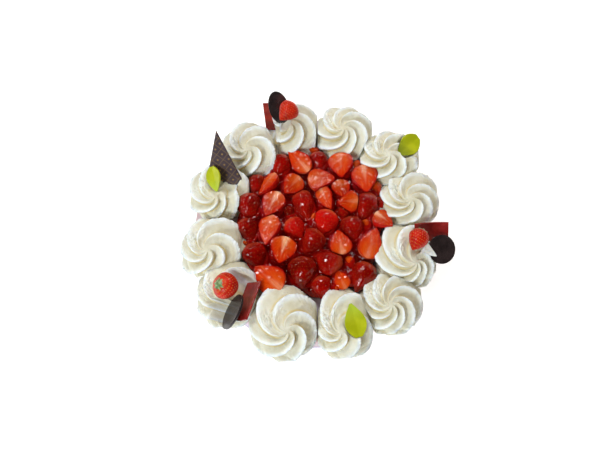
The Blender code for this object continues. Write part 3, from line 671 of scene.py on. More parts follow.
tongue = tongue_surface() + RING_SHIFT
tongue_light_crumb_shade = np.zeros(tongue.shape) + TONGUE_LIGHT_CRUMB_SHADE
serve_closed("cream_tongue", tongue, {"piping": tongue_light_crumb_shade}, whipped_cream, "whipped_cream")

# %% [markdown]
# ## Strawberries in the jelly
# A strawberry is a drop: wide shoulders at the stalk, a blunt tip.  Along its length the
# radius follows sin(pi s ** 0.8) ** 0.85.  Half of the pieces are cut lengthwise and lie with
# the cut face up: the part above the cut is flattened to a slightly crowned face.  The rest
# show their skin, dimpled at every seed.  Where two pieces meet, the plane that takes least
# from both is found, and both are pressed softly against it.

# %% Berry table and measures
BERRY_FLOOR = 44.6
JELLY_TOP = 51.5
BERRY_SWELL = 1.10
# cut: its level as a share of the width, rows, columns
CUTS = {"half": (0.06, 60, 80), "dome": (-0.26, 72, 110), "nub": (-0.10, 30, 42)}
SHOULDER = 0.80
FULLNESS = 0.85
SEED_APART = 3.1
SEED_STRETCH = 1.15
CROWDED = 0.62
DIRECTIONS = 300
TOUCHING = 0.2
SQUEEZE = 1.2
BESIDE_PLATE = 31
PLATE_CLEAR = 0.3

# cut, centre x, centre y, length, width, heading of the tip, lift, roll, tone, core
BERRIES = (
    ("half", -14.0, 62.5, 30.0, 17.5, 130, 2.0, -12, 0.80, 0.45),
    ("dome", 6.0, 62.5, 21.0, 16.5, -75, 0.5, 0, 0.40, 0.0),
    ("half", 27.0, 55.5, 23.5, 22.0, -85, 1.5, 8, 0.85, 0.30),
    ("dome", -31.5, 58.0, 23.0, 19.5, -105, 0.0, 0, 0.35, 0.0),
    ("half", 50.0, 41.5, 26.5, 23.0, -85, 1.5, 6, 0.85, 0.55),
    ("half", 8.5, 41.0, 24.0, 22.0, 5, 1.5, -10, 0.70, 0.20),
    ("half", -19.5, 35.5, 21.0, 19.0, -130, 1.0, -8, 0.50, 0.20),
    ("half", -43.5, 37.5, 25.5, 16.0, -125, 1.0, 32, 0.65, 0.25),
    ("dome", -54.0, 37.5, 21.5, 17.0, -105, 0.0, 0, 0.30, 0.0),
    ("half", 27.5, 32.0, 18.5, 17.0, -70, 1.0, -6, 0.45, 0.20),
    ("half", 12.0, 22.0, 23.5, 14.0, -65, 5.0, 20, 0.90, 0.50),
    ("dome", -7.5, 16.0, 30.5, 18.5, -75, 1.0, 0, 0.35, 0.0),
    ("half", -37.5, 15.5, 25.0, 20.5, -115, 1.5, 10, 0.55, 0.75),
    ("dome", -60.0, 15.0, 25.5, 21.5, -75, 0.0, 0, 0.30, 0.0),
    ("half", 33.0, 19.0, 19.0, 19.0, 180, 1.5, -14, 0.60, 0.25),
    ("dome", 50.0, 15.0, 27.5, 19.5, -110, 1.5, 0, 0.35, 0.0),
    ("half", 66.0, 0.5, 19.0, 17.5, -40, 2.5, -16, 0.70, 0.90),
    ("half", -40.5, -9.5, 27.5, 18.5, -100, 2.5, 14, 0.85, 0.20),
    ("dome", -60.0, -8.5, 23.5, 20.0, -65, 0.0, 0, 0.25, 0.0),
    ("dome", 12.0, -1.0, 24.0, 20.5, -110, 1.5, 0, 0.85, 0.0),
    ("dome", 36.5, -7.5, 23.5, 20.5, -85, 1.0, 0, 0.30, 0.0),
    ("dome", -15.0, -7.5, 23.5, 18.5, -50, 1.0, 0, 0.60, 0.0),
    ("dome", -1.0, -20.0, 24.0, 22.0, -120, 1.0, 0, 0.35, 0.0),
    ("half", 53.5, -22.0, 28.5, 20.0, 70, 2.0, 10, 0.80, 0.20),
    ("half", 25.0, -21.5, 22.0, 19.0, 100, 2.0, 4, 0.80, 0.45),
    ("half", -27.0, -29.5, 23.5, 22.5, -105, 2.0, -8, 0.75, 1.00),
    ("dome", -52.0, -33.5, 24.5, 21.5, -65, 0.0, 0, 0.25, 0.0),
    ("dome", 13.0, -38.5, 26.5, 21.5, 160, 1.5, 0, 0.35, 0.0),
    ("half", 25.5, -55.0, 17.5, 14.0, 115, 0.5, 0, 0.80, 0.20),
    ("dome", 44.5, -53.0, 27.5, 21.5, -115, 0.5, 0, 0.30, 0.0),
    ("dome", -9.0, -49.0, 27.5, 25.0, -90, 0.5, 0, 0.15, 0.0),
    ("half", -39.5, -55.0, 29.5, 24.0, 140, 1.0, -10, 0.85, 0.35),
    ("dome", 8.5, -62.5, 21.5, 17.5, -75, 0.0, 0, 0.35, 0.0),
)

# Small pieces that only show their backs above the jelly
SUNK = (
    ("nub", 1.5, 76.5, 12.0, 9.0, -5, 4.0, 0, 0.70, 0.0),
    ("nub", 45.5, 60.0, 12.5, 10.5, 5, 4.0, 0, 0.60, 0.0),
    ("nub", 61.5, 34.0, 17.0, 11.5, -80, 4.0, 0, 0.50, 0.0),
    ("nub", 65.0, 19.5, 16.0, 9.5, -75, 4.0, 0, 0.35, 0.0),
    ("nub", 1.5, 5.5, 9.0, 8.5, -45, 4.0, 0, 0.75, 0.0),
    ("nub", -20.5, 9.5, 13.5, 12.0, -50, 3.5, 0, 0.10, 0.0),
    ("nub", 27.5, 8.5, 15.5, 13.0, -135, 4.0, 0, 0.25, 0.0),
    ("nub", 50.0, -1.5, 12.0, 9.5, -65, 4.0, 0, 0.70, 0.0),
    ("nub", -61.5, -19.0, 8.0, 7.5, 30, 3.5, 0, 0.70, 0.0),
    ("nub", 34.0, -38.0, 12.0, 9.0, -75, 4.0, 0, 0.75, 0.0),
    ("nub", 22.0, -63.0, 9.5, 8.0, -70, 4.0, 0, 0.70, 0.0),
)


# %% Berry surface
def drop(length, width, rows, columns):
    """(L (s - 1/2), R(s) cos a, R(s) sin a) with R = W / 2 sin(pi s ** 0.8) ** 0.85; also s, a, R."""
    share = np.linspace(0.0, 1.0, rows + 2)[1:-1]
    station = share ** (1.0 / SHOULDER)
    radius = 0.5 * width * np.sin(math.pi * share ** SHOULDER) ** FULLNESS
    angle = np.linspace(0.0, 2.0 * math.pi, columns, endpoint=False) - math.pi / 2.0
    station, angle = np.meshgrid(station, angle, indexing="ij")
    radius = np.repeat(radius[:, None], columns, axis=1)
    points = np.stack([length * (station - 0.5), radius * np.cos(angle), radius * np.sin(angle)], -1)
    return points, station, angle, radius


def seed_pattern(length, width, station, angle, apart):
    """Way to the nearest seed, along and round; every other row is set off by half."""
    rows = max(int(length / apart), 3)
    around = max(int(math.pi * width / (SEED_STRETCH * apart)), 6)
    along = station * rows + 0.25 * np.sin(3.0 * angle)
    line = np.floor(along)
    round_it = (angle + math.pi / 2.0) / (2.0 * math.pi) * around + 0.5 * (line % 2.0)
    off_along = (along - line - 0.5) * apart
    off_round = ((round_it % 1.0) - 0.5) * apart * SEED_STRETCH
    return off_along, off_round


def turned(points, heading, pitch, roll):
    """Rolls about X, pitches about Y and turns about Z, in that order."""
    a, b, c = (math.radians(value) for value in (roll, -pitch, heading))
    about_x = np.array([[1, 0, 0], [0, math.cos(a), -math.sin(a)], [0, math.sin(a), math.cos(a)]])
    about_y = np.array([[math.cos(b), 0, math.sin(b)], [0, 1, 0], [-math.sin(b), 0, math.cos(b)]])
    about_z = np.array([[math.cos(c), -math.sin(c), 0], [math.sin(c), math.cos(c), 0], [0, 0, 1]])
    return points @ (about_z @ about_y @ about_x).T


def berry_surface(row, seed):
    """One piece in its place: a drop, cut flat above or below, with its looks for the material."""
    cut, x, y, length, width, heading, lift, roll, tone, core = row
    swell = 1.0 if cut == "nub" else BERRY_SWELL
    length, width = length * swell, width * swell
    cut_share, rows, columns = CUTS[cut]
    points, station, angle, radius = drop(length, width, rows, columns)
    level = cut_share * width
    off_along, off_round = seed_pattern(length, width, station, angle, SEED_APART)
    dimple = np.exp(-(off_along ** 2 + off_round ** 2) / 0.75)
    skin = 0.34 * ripple(points, 6.0, seed) + 0.13 * ripple(points, 3.0, seed + 50) - 0.12 * dimple
    bulge = 1.0 + 0.03 * np.sin(3.0 * angle + seed) * np.sin(math.pi * station)
    points[..., 1:] *= (bulge * (1.0 + skin / np.maximum(radius, 2.0)))[..., None]
    height = points[..., 2] - level
    if cut == "half":
        half = np.sqrt(np.maximum(radius ** 2 - level ** 2, 0.04))
        rimward = np.clip(np.abs(points[..., 1]) / half, 0.0, 1.0)
        crown = 0.10 * height + 0.34 * ripple(points * (1, 1, 0), 5.0, seed + 90)
        crown = crown + 0.09 * ripple(points * (1, 1, 0), 2.6, seed + 91)
        points[..., 2] = np.where(height > 0.0, level + crown * smooth(0.0, 2.0, height), points[..., 2])
        face = smooth(-0.3, 0.25, height)
    else:
        rimward = np.zeros_like(station)
        points[..., 2] = np.where(height < 0.0, level, points[..., 2])
        face = np.full_like(station, 1.0 if cut == "nub" and tone > 0.4 else 0.0)
    across = points[..., 1] / (0.5 * width)
    points = turned(points, heading, 0.0, roll)
    points[..., 2] += BERRY_FLOOR + lift - points[..., 2].min()
    points[..., :2] += (x, y)
    values = {
        "fruit": np.stack([station, across, face], -1),
        "ripe": np.stack([np.full_like(station, tone), np.full_like(station, core), rimward], -1),
        "seed": np.stack([off_along, off_round, dimple], -1),
    }
    return points, values


# %% Pressing the pieces together
def even_directions(count):
    """Directions spread evenly over a sphere along a golden spiral."""
    index = np.arange(count)
    level = 1.0 - 2.0 * (index + 0.5) / count
    turn = index * math.pi * (3.0 - math.sqrt(5.0))
    side = np.sqrt(1.0 - level ** 2)
    return np.stack([side * np.cos(turn), side * np.sin(turn), level], 1)


def press_pair(first, second, directions):
    """Presses two pieces against the plane across which they overlap least."""
    ahead = (first.reshape(-1, 3)[::3] @ directions.T).max(0)
    behind = (second.reshape(-1, 3)[::3] @ directions.T).min(0)
    best = int((behind - ahead).argmax())
    if behind[best] - ahead[best] > TOUCHING:
        return first, second
    normal = directions[best]
    origin = normal * ((ahead[best] + behind[best]) / 2.0)
    return (
        press(first, origin, normal, 0.0, SQUEEZE, PRESS_GAP),
        press(second, origin, -normal, 0.0, SQUEEZE, PRESS_GAP),
    )


def arrange_berries():
    """Every piece, pressed against each one near it, and one of them against a plate."""
    rows = BERRIES + SUNK
    made = [berry_surface(row, 100 + index) for index, row in enumerate(rows)]
    clouds = [points for points, _ in made]
    directions = even_directions(DIRECTIONS)
    for low in range(len(rows)):
        for high in range(low + 1, len(rows)):
            apart = math.hypot(rows[low][1] - rows[high][1], rows[low][2] - rows[high][2])
            if apart < (rows[low][3] + rows[high][3]) * CROWDED:
                clouds[low], clouds[high] = press_pair(clouds[low], clouds[high], directions)
    behind = 0.5 * PLATE_THICK + PLATE_CLEAR
    clouds[BESIDE_PLATE] = step_back(clouds[BESIDE_PLATE], PLATES[2], SQUARE, THROUGH, behind)
    return [(points, values) for points, (_, values) in zip(clouds, made)]


berries = arrange_berries()
print("berry pieces:", len(berries))

# %% [markdown]
# ### Fruit
# The cut face shows pale strands that fan out from the stalk end, a pale core where the berry
# was cut near its middle, and a deep red line where flesh turns to skin.  The pattern is drawn
# in the berry's own coordinates: how far along it is, and how far across.  Skin and flesh share
# a coat of clear glaze, which is what makes them look wet.

# %% Glazed fruit
WET = {"Roughness": 0.40, "Coat_Weight": 1.0, "Coat_IOR": 1.43, "Specular_IOR_Level": 0.0}


def fan_pattern(tree, along, across, count, seed):
    """Strands: noise drawn out along lines that fan from the stalk end, across / (along + 0.3)."""
    fan = maths(tree, "DIVIDE", across, maths(tree, "ADD", along, 0.30))
    wide, long = times(tree, fan, count), times(tree, along, 2.2)
    spot = place(tree, "ShaderNodeCombineXYZ", _0=wide, _1=long, _2=seed).outputs[0]
    noise = place(tree, "ShaderNodeTexNoise", _0=spot, Scale=1.0, Detail=3.0, Roughness=0.6)
    return noise.outputs[0]


def cut_face(tree, along, across, rimward, tone, core, strands):
    """Red flesh with pale strands, a pale core and a dark rim."""
    flesh = blend(tree, span(tree, tone, 0.30, 0.95), (0.32, 0.006, 0.0005), (0.60, 0.034, 0.001))
    ripe = tinted(tree, flesh, span(tree, along, 0.75, 0.05), 0.55, (0.62, 0.09, 0.003))
    pale = tinted(tree, ripe, span(tree, strands, 0.50, 0.74), 0.5, (0.80, 0.20, 0.05))
    off_middle = times(tree, maths(tree, "ABSOLUTE", across), 1.7)
    in_core = inverse(tree, span(tree, maths(tree, "ADD", off_middle, along), 0.10, 0.85))
    fine = span(tree, fan_pattern(tree, along, across, 16.0, 5.0), 0.35, 0.65)
    heart = blend(tree, fine, (0.84, 0.30, 0.13), (0.90, 0.62, 0.38))
    cut = tinted(tree, pale, in_core, core, heart)
    ruddy = maths(tree, "MAXIMUM", span(tree, rimward, 0.40, 0.95), span(tree, along, 0.70, 1.0))
    cut = tinted(tree, cut, ruddy, 0.65, (0.46, 0.008, 0.003))
    return blend(tree, span(tree, rimward, 0.86, 1.0), cut, (0.30, 0.002, 0.001))


def berry_skin(tree, along, tone):
    """Dark to bright red, paler at the shoulder, with faint seeds; also its grain."""
    off_along, off_round, _, _ = reading(tree, "seed")
    dark, grain = mottle(tree, (0.12, 0.0003, 0.0004), (0.25, 0.0008, 0.0007), 90.0, 1200.0)
    bright, _ = mottle(tree, (0.44, 0.002, 0.002), (0.58, 0.005, 0.003), 60.0, 1200.0)
    skin = blend(tree, span(tree, tone, 0.10, 0.95), dark, bright)
    shoulder = inverse(tree, span(tree, along, 0.02, 0.30))
    skin = tinted(tree, skin, shoulder, times(tree, tone, 0.7), (0.80, 0.16, 0.05))
    from_seed = place(tree, "ShaderNodeCombineXYZ", _0=times(tree, off_along, 0.65), _1=off_round)
    away = place(tree, "ShaderNodeVectorMath", {"operation": "LENGTH"}, _0=from_seed.outputs[0])
    on_seed = inverse(tree, span(tree, away.outputs["Value"], 0.26, 0.46))
    return tinted(tree, skin, on_seed, 0.22, (0.50, 0.16, 0.03)), grain


def make_glazed_fruit():
    """Flesh where the face mask is 1, skin elsewhere, both under a wet coat."""
    material, tree, shader = new_material(
        "glazed_fruit", Coat_Roughness=0.04, **WET, **soft(0.12, (1.0, 0.25, 0.12), 0.003)
    )
    along, across, face, _ = reading(tree, "fruit")
    tone, core, rimward, _ = reading(tree, "ripe")
    strands = fan_pattern(tree, along, across, 9.0, 0.0)
    cut = cut_face(tree, along, across, rimward, tone, core, strands)
    skin, grain = berry_skin(tree, along, tone)
    base = blend(tree, face, skin, cut)
    finish_with(tree, shader, base, maths(tree, "ADD", grain, strands), 0.00025, 0.5)
    return material


glazed_fruit = make_glazed_fruit()
# cut: piece, solid that it stands for, slot
FRUIT_NAMES = {
    "half": ("cut_fruit_%02d", "cut_berry_%02d", "cut_strawberry"),
    "dome": ("whole_fruit_%02d", "round_berry_%02d", "strawberry_skin"),
    "nub": ("sunk_fruit_%02d", None, "cut_strawberry"),
}
for index, (row, (points, values)) in enumerate(zip(BERRIES + SUNK, berries)):
    name, solid, slot = FRUIT_NAMES[row[0]]
    number = index + 1 if solid else index + 1 - len(BERRIES)
    nodes = [solid % number] if solid else []
    serve_closed(name % number, points + RING_SHIFT, values, glazed_fruit, slot, *nodes)

# %% [markdown]
# ## Jelly
# Warm jelly is poured over the fruit.  It levels out between the pieces, climbs a little where
# it touches them, and shrinks into a shallow hollow in between as it sets.  As a surface it is
# a height over a round grid: the level, plus a rise that dies away with the distance from each
# piece, plus soft unevenness.  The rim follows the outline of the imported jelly.

# %% Jelly surface
JELLY_BASE = 42.3
JELLY_ROWS = 150
JELLY_COLUMNS = 360
CLIMB = 2.0
CLIMB_WIDTH = 1.7
FALL_AT_RIM = 1.5


def jelly_rim(angle):
    """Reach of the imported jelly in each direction, read off its foot."""
    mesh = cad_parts["jelly"].data
    corners = np.zeros(3 * len(mesh.vertices), np.float32)
    mesh.vertices.foreach_get("co", corners)
    corners = corners.reshape(-1, 3) / MM
    foot = corners[corners[:, 2] < JELLY_BASE + 0.05] - RING_SHIFT
    turn = np.arctan2(foot[:, 1], foot[:, 0])
    order = np.argsort(turn)
    return np.interp(angle, turn[order], np.hypot(foot[:, 0], foot[:, 1])[order], period=2.0 * math.pi)


def nearness(plan):
    """For each point, the largest exp(-d / width) over all pieces, d the way to each plan oval."""
    closest = np.zeros(plan.shape[:2])
    for cut, x, y, length, width, heading, *_ in BERRIES + SUNK:
        swell = 1.0 if cut == "nub" else BERRY_SWELL
        turn = math.radians(heading)
        off = plan - (x, y)
        along = off @ (math.cos(turn), math.sin(turn))
        aside = off @ (-math.sin(turn), math.cos(turn))
        scale = np.hypot(along / (0.46 * length * swell), aside / (0.46 * width * swell))
        way = (1.0 - 1.0 / np.maximum(scale, 0.05)) * np.hypot(along, aside)
        closest = np.maximum(closest, np.exp(-np.maximum(way, 0.0) / CLIMB_WIDTH))
    return closest


def jelly_surface():
    """(r cos a, r sin a, level + climb + ripple) from the middle out, then down to the foot."""
    angle = np.linspace(-math.pi, math.pi, JELLY_COLUMNS, endpoint=False)
    rim = jelly_rim(angle)
    share = np.linspace(0.01, 1.0, JELLY_ROWS) ** 0.8
    plan = share[:, None, None] * (rim[:, None] * np.stack([np.cos(angle), np.sin(angle)], -1))[None]
    near = nearness(plan)
    flat = np.concatenate([plan, np.zeros((*plan.shape[:2], 1))], -1)
    level = JELLY_TOP - 0.7 + CLIMB * near ** 1.3
    level = level + 0.40 * ripple(flat, 9.0, 11) + 0.34 * ripple(flat, 3.6, 12)
    level = level - FALL_AT_RIM * smooth(0.96, 1.0, share)[:, None]
    top = np.concatenate([plan, level[..., None]], -1)
    foot = np.concatenate([plan[-1:], np.full((1, JELLY_COLUMNS, 1), JELLY_BASE)], -1)
    inner = np.concatenate([0.5 * plan[-1:], np.full((1, JELLY_COLUMNS, 1), JELLY_BASE)], -1)
    depth = np.concatenate([near, near[-1:], near[-1:]])
    return np.concatenate([top, foot, inner]), depth


def make_jelly():
    """Deep red, brighter where it is thin over fruit, under a wet coat."""
    material, tree, shader = new_material(
        "strawberry_jelly", Coat_Roughness=0.03, **WET, **soft(0.10, (1.0, 0.10, 0.05), 0.003)
    )
    deep, height = mottle(tree, (0.08, 0.0002, 0.0002), (0.20, 0.0005, 0.0005), 70.0, 400.0)
    _, _, _, near = reading(tree, "over_fruit")
    base = tinted(tree, deep, span(tree, near, 0.35, 1.0), 0.6, (0.32, 0.004, 0.002))
    finish_with(tree, shader, base, height, 0.0004, 0.35)
    return material


jelly_points, over_fruit = jelly_surface()
jelly_points = jelly_points + RING_SHIFT
jelly_foot = (0.0, RING_SHIFT[1], JELLY_BASE)
jelly_mesh = closed_mesh("jelly_pool", jelly_points, {"over_fruit": over_fruit}, end=jelly_foot)
serve("jelly_pool", jelly_mesh, make_jelly(), "strawberry_jelly", "jelly")
print("jelly across, mm:", np.ptp(jelly_points[..., 0]).round(1), np.ptp(jelly_points[..., 1]).round(1))

# %% [markdown]
# ## Fresh strawberries on the cream
# These are whole and dry-looking beside the glazed fruit: bright red, with yellow seeds that
# sit in sharp dimples.  The lattice of seeds that only tints the glazed berries is cut into
# the surface here.  The leaves round the stalk are one thin wavy star.

# %% Fresh strawberries
# number, centre x, y, z, length, width, heading and pitch of the tip, reach of the leaves
TOP_BERRIES = (
    (1, -24.0, 100.0, 81.5, 21.5, 19.5, 230, -5, 0.0),
    (2, 91.5, -26.0, 76.5, 22.5, 18.0, 240, 12, 7.0),
    (3, -72.0, -66.0, 74.0, 25.0, 23.0, 5, -57, 6.5),
)
LEAVES = 6
FRESH_ROWS, FRESH_COLUMNS = 130, 180
FRESH_APART = 2.1
PIT_DEPTH = 0.34
SEED_RISE = 0.16


def fresh_surface(row):
    """A drop whose radius sinks round each seed and rises again on the seed itself."""
    number, x, y, z, length, width, heading, pitch, _ = row
    points, station, angle, radius = drop(length, width, FRESH_ROWS, FRESH_COLUMNS)
    off_along, off_round = seed_pattern(length, width, station, angle, FRESH_APART)
    apart = np.hypot(off_along * 0.75, off_round)
    pit = np.exp(-(apart / 0.60) ** 2)
    seed = smooth(0.46, 0.24, apart)
    depth = -PIT_DEPTH * pit + SEED_RISE * seed + 0.22 * ripple(points, 8.0, 60 + number)
    bulge = 1.0 + 0.025 * np.sin(3.0 * angle + number) * np.sin(math.pi * station)
    points[..., 1:] *= (bulge * (1.0 + (depth - 0.1) / np.maximum(radius, 2.5)))[..., None]
    points = turned(points, heading, pitch, 0.0) + (x, y, z) + RING_SHIFT
    return points, {"fresh": np.stack([seed, pit, station], -1)}


def make_fresh_skin():
    """Bright red, paler at the shoulder, with yellow seeds in pits darkened by painted shade."""
    material, tree, shader = new_material(
        "fresh_strawberry", Roughness=0.32, Coat_Weight=0.15, Coat_Roughness=0.15,
        Specular_IOR_Level=0.12, **soft(0.10, (1.0, 0.2, 0.1), 0.002)
    )
    seed, pit, along, _ = reading(tree, "fresh")
    red, height = mottle(tree, (0.40, 0.003, 0.002), (0.58, 0.010, 0.003), 130.0, 1500.0)
    pale = inverse(tree, span(tree, along, 0.0, 0.25))
    red = tinted(tree, red, pale, 0.25, (0.76, 0.10, 0.03))
    # Painted shade: the pits round the seeds are darkened.
    red = tinted(tree, red, pit, 0.45, (0.30, 0.004, 0.004))
    base = tinted(tree, red, seed, 0.75, (0.72, 0.25, 0.05))
    finish_with(tree, shader, base, height, 0.00015, 0.4)
    return material


fresh_skin = make_fresh_skin()
for row in TOP_BERRIES:
    points, values = fresh_surface(row)
    name, node = "fresh_strawberry_%d" % row[0], "strawberry_%d" % row[0]
    serve_closed(name, points, values, fresh_skin, "fresh_strawberry", node)


# %% Leaves round the stalk
def leaf_star(row):
    """r(t, a) = reach t (0.4 + 0.6 |cos(3 a)| ** 0.7), bent over the shoulder, with two sides."""
    _, x, y, z, length, _, heading, pitch, reach = row
    angle = np.linspace(0.0, 2.0 * math.pi, 96, endpoint=False)
    outward = np.concatenate([np.linspace(0.08, 1.0, 16), np.linspace(1.0, 0.08, 16)])
    side = np.where(np.arange(32) < 16, 0.30, -0.30)
    lobes = 0.40 + 0.60 * np.abs(np.cos(0.5 * LEAVES * angle)) ** 0.7
    radius = reach * outward[:, None] * (1.0 - (1.0 - lobes)[None, :] * smooth(0.15, 0.9, outward)[:, None])
    wave = 0.5 * np.sin(9.0 * angle + x)[None, :] * outward[:, None] ** 2
    bend = 1.4 * (radius / reach) ** 2 * reach * 0.35 + wave
    stalk = 2.2 * np.exp(-(radius / 1.3) ** 2)
    points = np.stack([
        -0.5 * length - 0.4 + bend - stalk - side[:, None],
        radius * np.cos(angle),
        radius * np.sin(angle),
    ], -1)
    return turned(points, heading, pitch, 0.0) + (x, y, z) + RING_SHIFT


leaf_green = two_tone(
    "leaf_green", (0.09, 0.19, 0.05), (0.32, 0.42, 0.21), 260.0, 1500.0, 0.0002, 0.5, Roughness=0.5
)
for row in TOP_BERRIES:
    if row[-1]:
        serve_closed("berry_leaves_%d" % row[0], leaf_star(row), {}, leaf_green, "green_sugar")

# %% [markdown]
# ## Flat pieces
# Chocolate is spread thin on film, marked off and broken, so its pieces are even sheets with
# small round edges.  Each is an open grid in its own plane, with U across and V along, thickened
# by Solidify and eased by Bevel.  The petals are moulded sugar: one crease runs along the
# middle and both halves lift a little from it.

# %% Sheets
def in_plane(points, row):
    """Sets a sheet in its plane."""
    return points @ plane_axes(row) + row[1:4] + RING_SHIFT


def open_mesh(name, points, values):
    """Open mesh of a grid of points, its corners joined row by row."""
    rows, columns, _ = points.shape
    here = np.arange(rows * columns).reshape(rows, columns)
    quads = np.stack([here[:-1, :-1], here[:-1, 1:], here[1:, 1:], here[1:, :-1]], -1).reshape(-1, 4)
    flat = {label: data.reshape(rows * columns, -1).squeeze() for label, data in values.items()}
    return fill_mesh(name, points.reshape(-1, 3), quads, np.zeros((0, 3), int), flat)


def thicken(item, thick, ease):
    """Gives a sheet its thickness, half to each side, and eases its edges."""
    wall = item.modifiers.new("thickness", "SOLIDIFY")
    wall.thickness = thick * MM
    wall.offset = 0.0
    edge = item.modifiers.new("eased edge", "BEVEL")
    edge.width = ease * MM
    edge.segments = 2
    edge.limit_method = "ANGLE"
    edge.angle_limit = math.radians(50.0)


def plate_sheet(row):
    """(W u, L v, bow (2 w) ** 2) over u, v from -1/2 to 1/2, w the one that runs the short way."""
    length, width = row[7:9]
    v, u = np.meshgrid(np.linspace(-0.5, 0.5, 26), np.linspace(-0.5, 0.5, 22), indexing="ij")
    short = u if width < length else v
    flat = np.stack([width * u, length * v, PLATE_BOW * 4.0 * short * short], -1)
    flat[..., 2] += 0.12 * ripple(flat, 14.0, row[0])
    return in_plane(flat, row), {"sheet": np.stack([width * u, length * v, 0.0 * u], -1)}


def oval_sheet(row):
    """(W / 2 m cos a, L / 2 m sin a, 0): a square mapped to a disc, so no pole is needed."""
    length, width = row[7:9]
    v, u = np.meshgrid(np.linspace(-1.0, 1.0, 30), np.linspace(-1.0, 1.0, 30), indexing="ij")
    x = u * np.sqrt(1.0 - v * v / 2.0)
    y = v * np.sqrt(1.0 - u * u / 2.0)
    flat = np.stack([0.5 * width * x, 0.5 * length * y, 0.0 * x], -1)
    return in_plane(flat, row), {"sheet": np.stack([width * x, length * y, 0.0 * x], -1)}


def petal_sheet(row):
    """(u W s(v), L v, fold |x|), with s the half width of a teardrop at v."""
    length, width = row[7:9]
    v, u = np.meshgrid(np.linspace(-0.5, 0.5, 44), np.linspace(-1.0, 1.0, 25), indexing="ij")
    half = 0.5 * width * np.sin(math.pi * (0.04 + 0.90 * (v + 0.5)) ** 1.25) ** 0.8
    x = u * half
    lift = PETAL_FOLD * np.sqrt(x * x + 0.3) + 0.05 * length * v * v
    flat = np.stack([x, length * v, lift], -1)
    return in_plane(flat, row), {"sheet": np.stack([u, v, x], -1)}


def shard_sheet(row):
    """Bilinear patch over the four corners."""
    a, b, c, d = (np.array(corner) for corner in SHARD_CORNERS)
    v, u = np.meshgrid(np.linspace(0.0, 1.0, 30), np.linspace(0.0, 1.0, 30), indexing="ij")
    u, v = u[..., None], v[..., None]
    flat = (1 - u) * (1 - v) * a + u * (1 - v) * b + u * v * c + (1 - u) * v * d
    flat = np.concatenate([flat, 0.0 * u], -1)
    return in_plane(flat, row), {"sheet": flat}


# %% [markdown]
# ### Chocolate and sugar
# The red plates are dark chocolate under a brick red coat with faint rubbed marks.  The ovals
# are plain dark chocolate, a little grey where light grazes them.  The pointed piece carries
# a generic gold lattice: two sets of thin crossing lines with a dot in each field.

# %% Chocolate and sugar finishes
def make_gold_lattice():
    """|sin| of two slanting coordinates is near 0 along the lattice's lines."""
    material, tree, shader = new_material("lattice_chocolate", Roughness=0.38)
    across, along, _, _ = reading(tree, "sheet")
    base, height = mottle(tree, (0.050, 0.030, 0.038), (0.075, 0.048, 0.058), 110.0, 900.0)
    total = times(tree, maths(tree, "ADD", across, along), 0.30)
    apart = times(tree, maths(tree, "SUBTRACT", across, along), 0.30)
    first = maths(tree, "ABSOLUTE", maths(tree, "SINE", total))
    second = maths(tree, "ABSOLUTE", maths(tree, "SINE", apart))
    line = inverse(tree, span(tree, maths(tree, "MINIMUM", first, second), 0.03, 0.09))
    dot = span(tree, times(tree, first, second), 0.90, 0.96)
    base = tinted(tree, base, maths(tree, "MAXIMUM", line, dot), 0.75, (0.36, 0.22, 0.06))
    finish_with(tree, shader, base, height, 0.0001, 0.3)
    return material


def make_green_sugar():
    """Glossy yellow-green that turns greener toward one end."""
    material, tree, shader = new_material(
        "green_sugar", Roughness=0.30, Coat_Weight=0.3, Coat_Roughness=0.2,
        **soft(0.15, (0.8, 1.0, 0.2), 0.002)
    )
    _, along, _, _ = reading(tree, "sheet")
    base, height = mottle(tree, (0.40, 0.44, 0.004), (0.50, 0.53, 0.012), 90.0, 900.0)
    base = blend(tree, span(tree, along, 0.1, -0.5), base, (0.44, 0.56, 0.04))
    finish_with(tree, shader, base, height, 0.0001, 0.3)
    return material


red_chocolate = two_tone(
    "red_chocolate", (0.24, 0.008, 0.007), (0.34, 0.016, 0.012), 140.0, 900.0, 0.0001, 0.3,
    Roughness=0.25, Specular_IOR_Level=0.7,
)
dark_chocolate = two_tone(
    "dark_chocolate", (0.020, 0.013, 0.013), (0.034, 0.022, 0.022), 110.0, 900.0, 0.0001, 0.3,
    Roughness=0.25, Specular_IOR_Level=0.85,
)
green_sugar = make_green_sugar()
gold_lattice = make_gold_lattice()


# %% Pushing the flat pieces into the cream
# rows, surface, piece, solid that it stands for, material, slot, thickness, easing of the edge
FLAT_PIECES = (
    (PLATES, plate_sheet, "brick_plate_%d", "red_plate_%d",
     red_chocolate, "red_chocolate", PLATE_THICK, 0.25),
    (OVALS, oval_sheet, "chocolate_oval_%d", "dark_oval_%d",
     dark_chocolate, "dark_chocolate", OVAL_THICK, 0.5),
    (PETALS, petal_sheet, "sugar_petal_%d", "green_petal_%d",
     green_sugar, "green_sugar", PETAL_THICK, 0.3),
)


def serve_sheet(name, made, material, slot, node, thick, ease):
    """Mesh, thickness and eased edges for one flat piece."""
    item = serve(name, open_mesh(name, *made), material, slot, node)
    thicken(item, thick, ease)


for rows, surface, name, node, material, slot, thick, ease in FLAT_PIECES:
    for row in rows:
        serve_sheet(name % row[0], surface(row), material, slot, node % row[0], thick, ease)
shard = shard_sheet(SHARD)
serve_sheet("lattice_shard", shard, gold_lattice, "dark_chocolate", "dark_shard", SHARD_THICK, 0.3)

# %% [markdown]
# ## Table, light and camera
# The tart stands on a plain white table.  A large soft light from the front left models the
# cream, weaker ones from the front right and the back right fill it, and small bright windows
# give the wet fruit its sharp lights.  The camera looks down at 70 degrees from the front.

# %% Table
TABLE_REACH = 4.0
TABLE_LEVEL = -0.0004


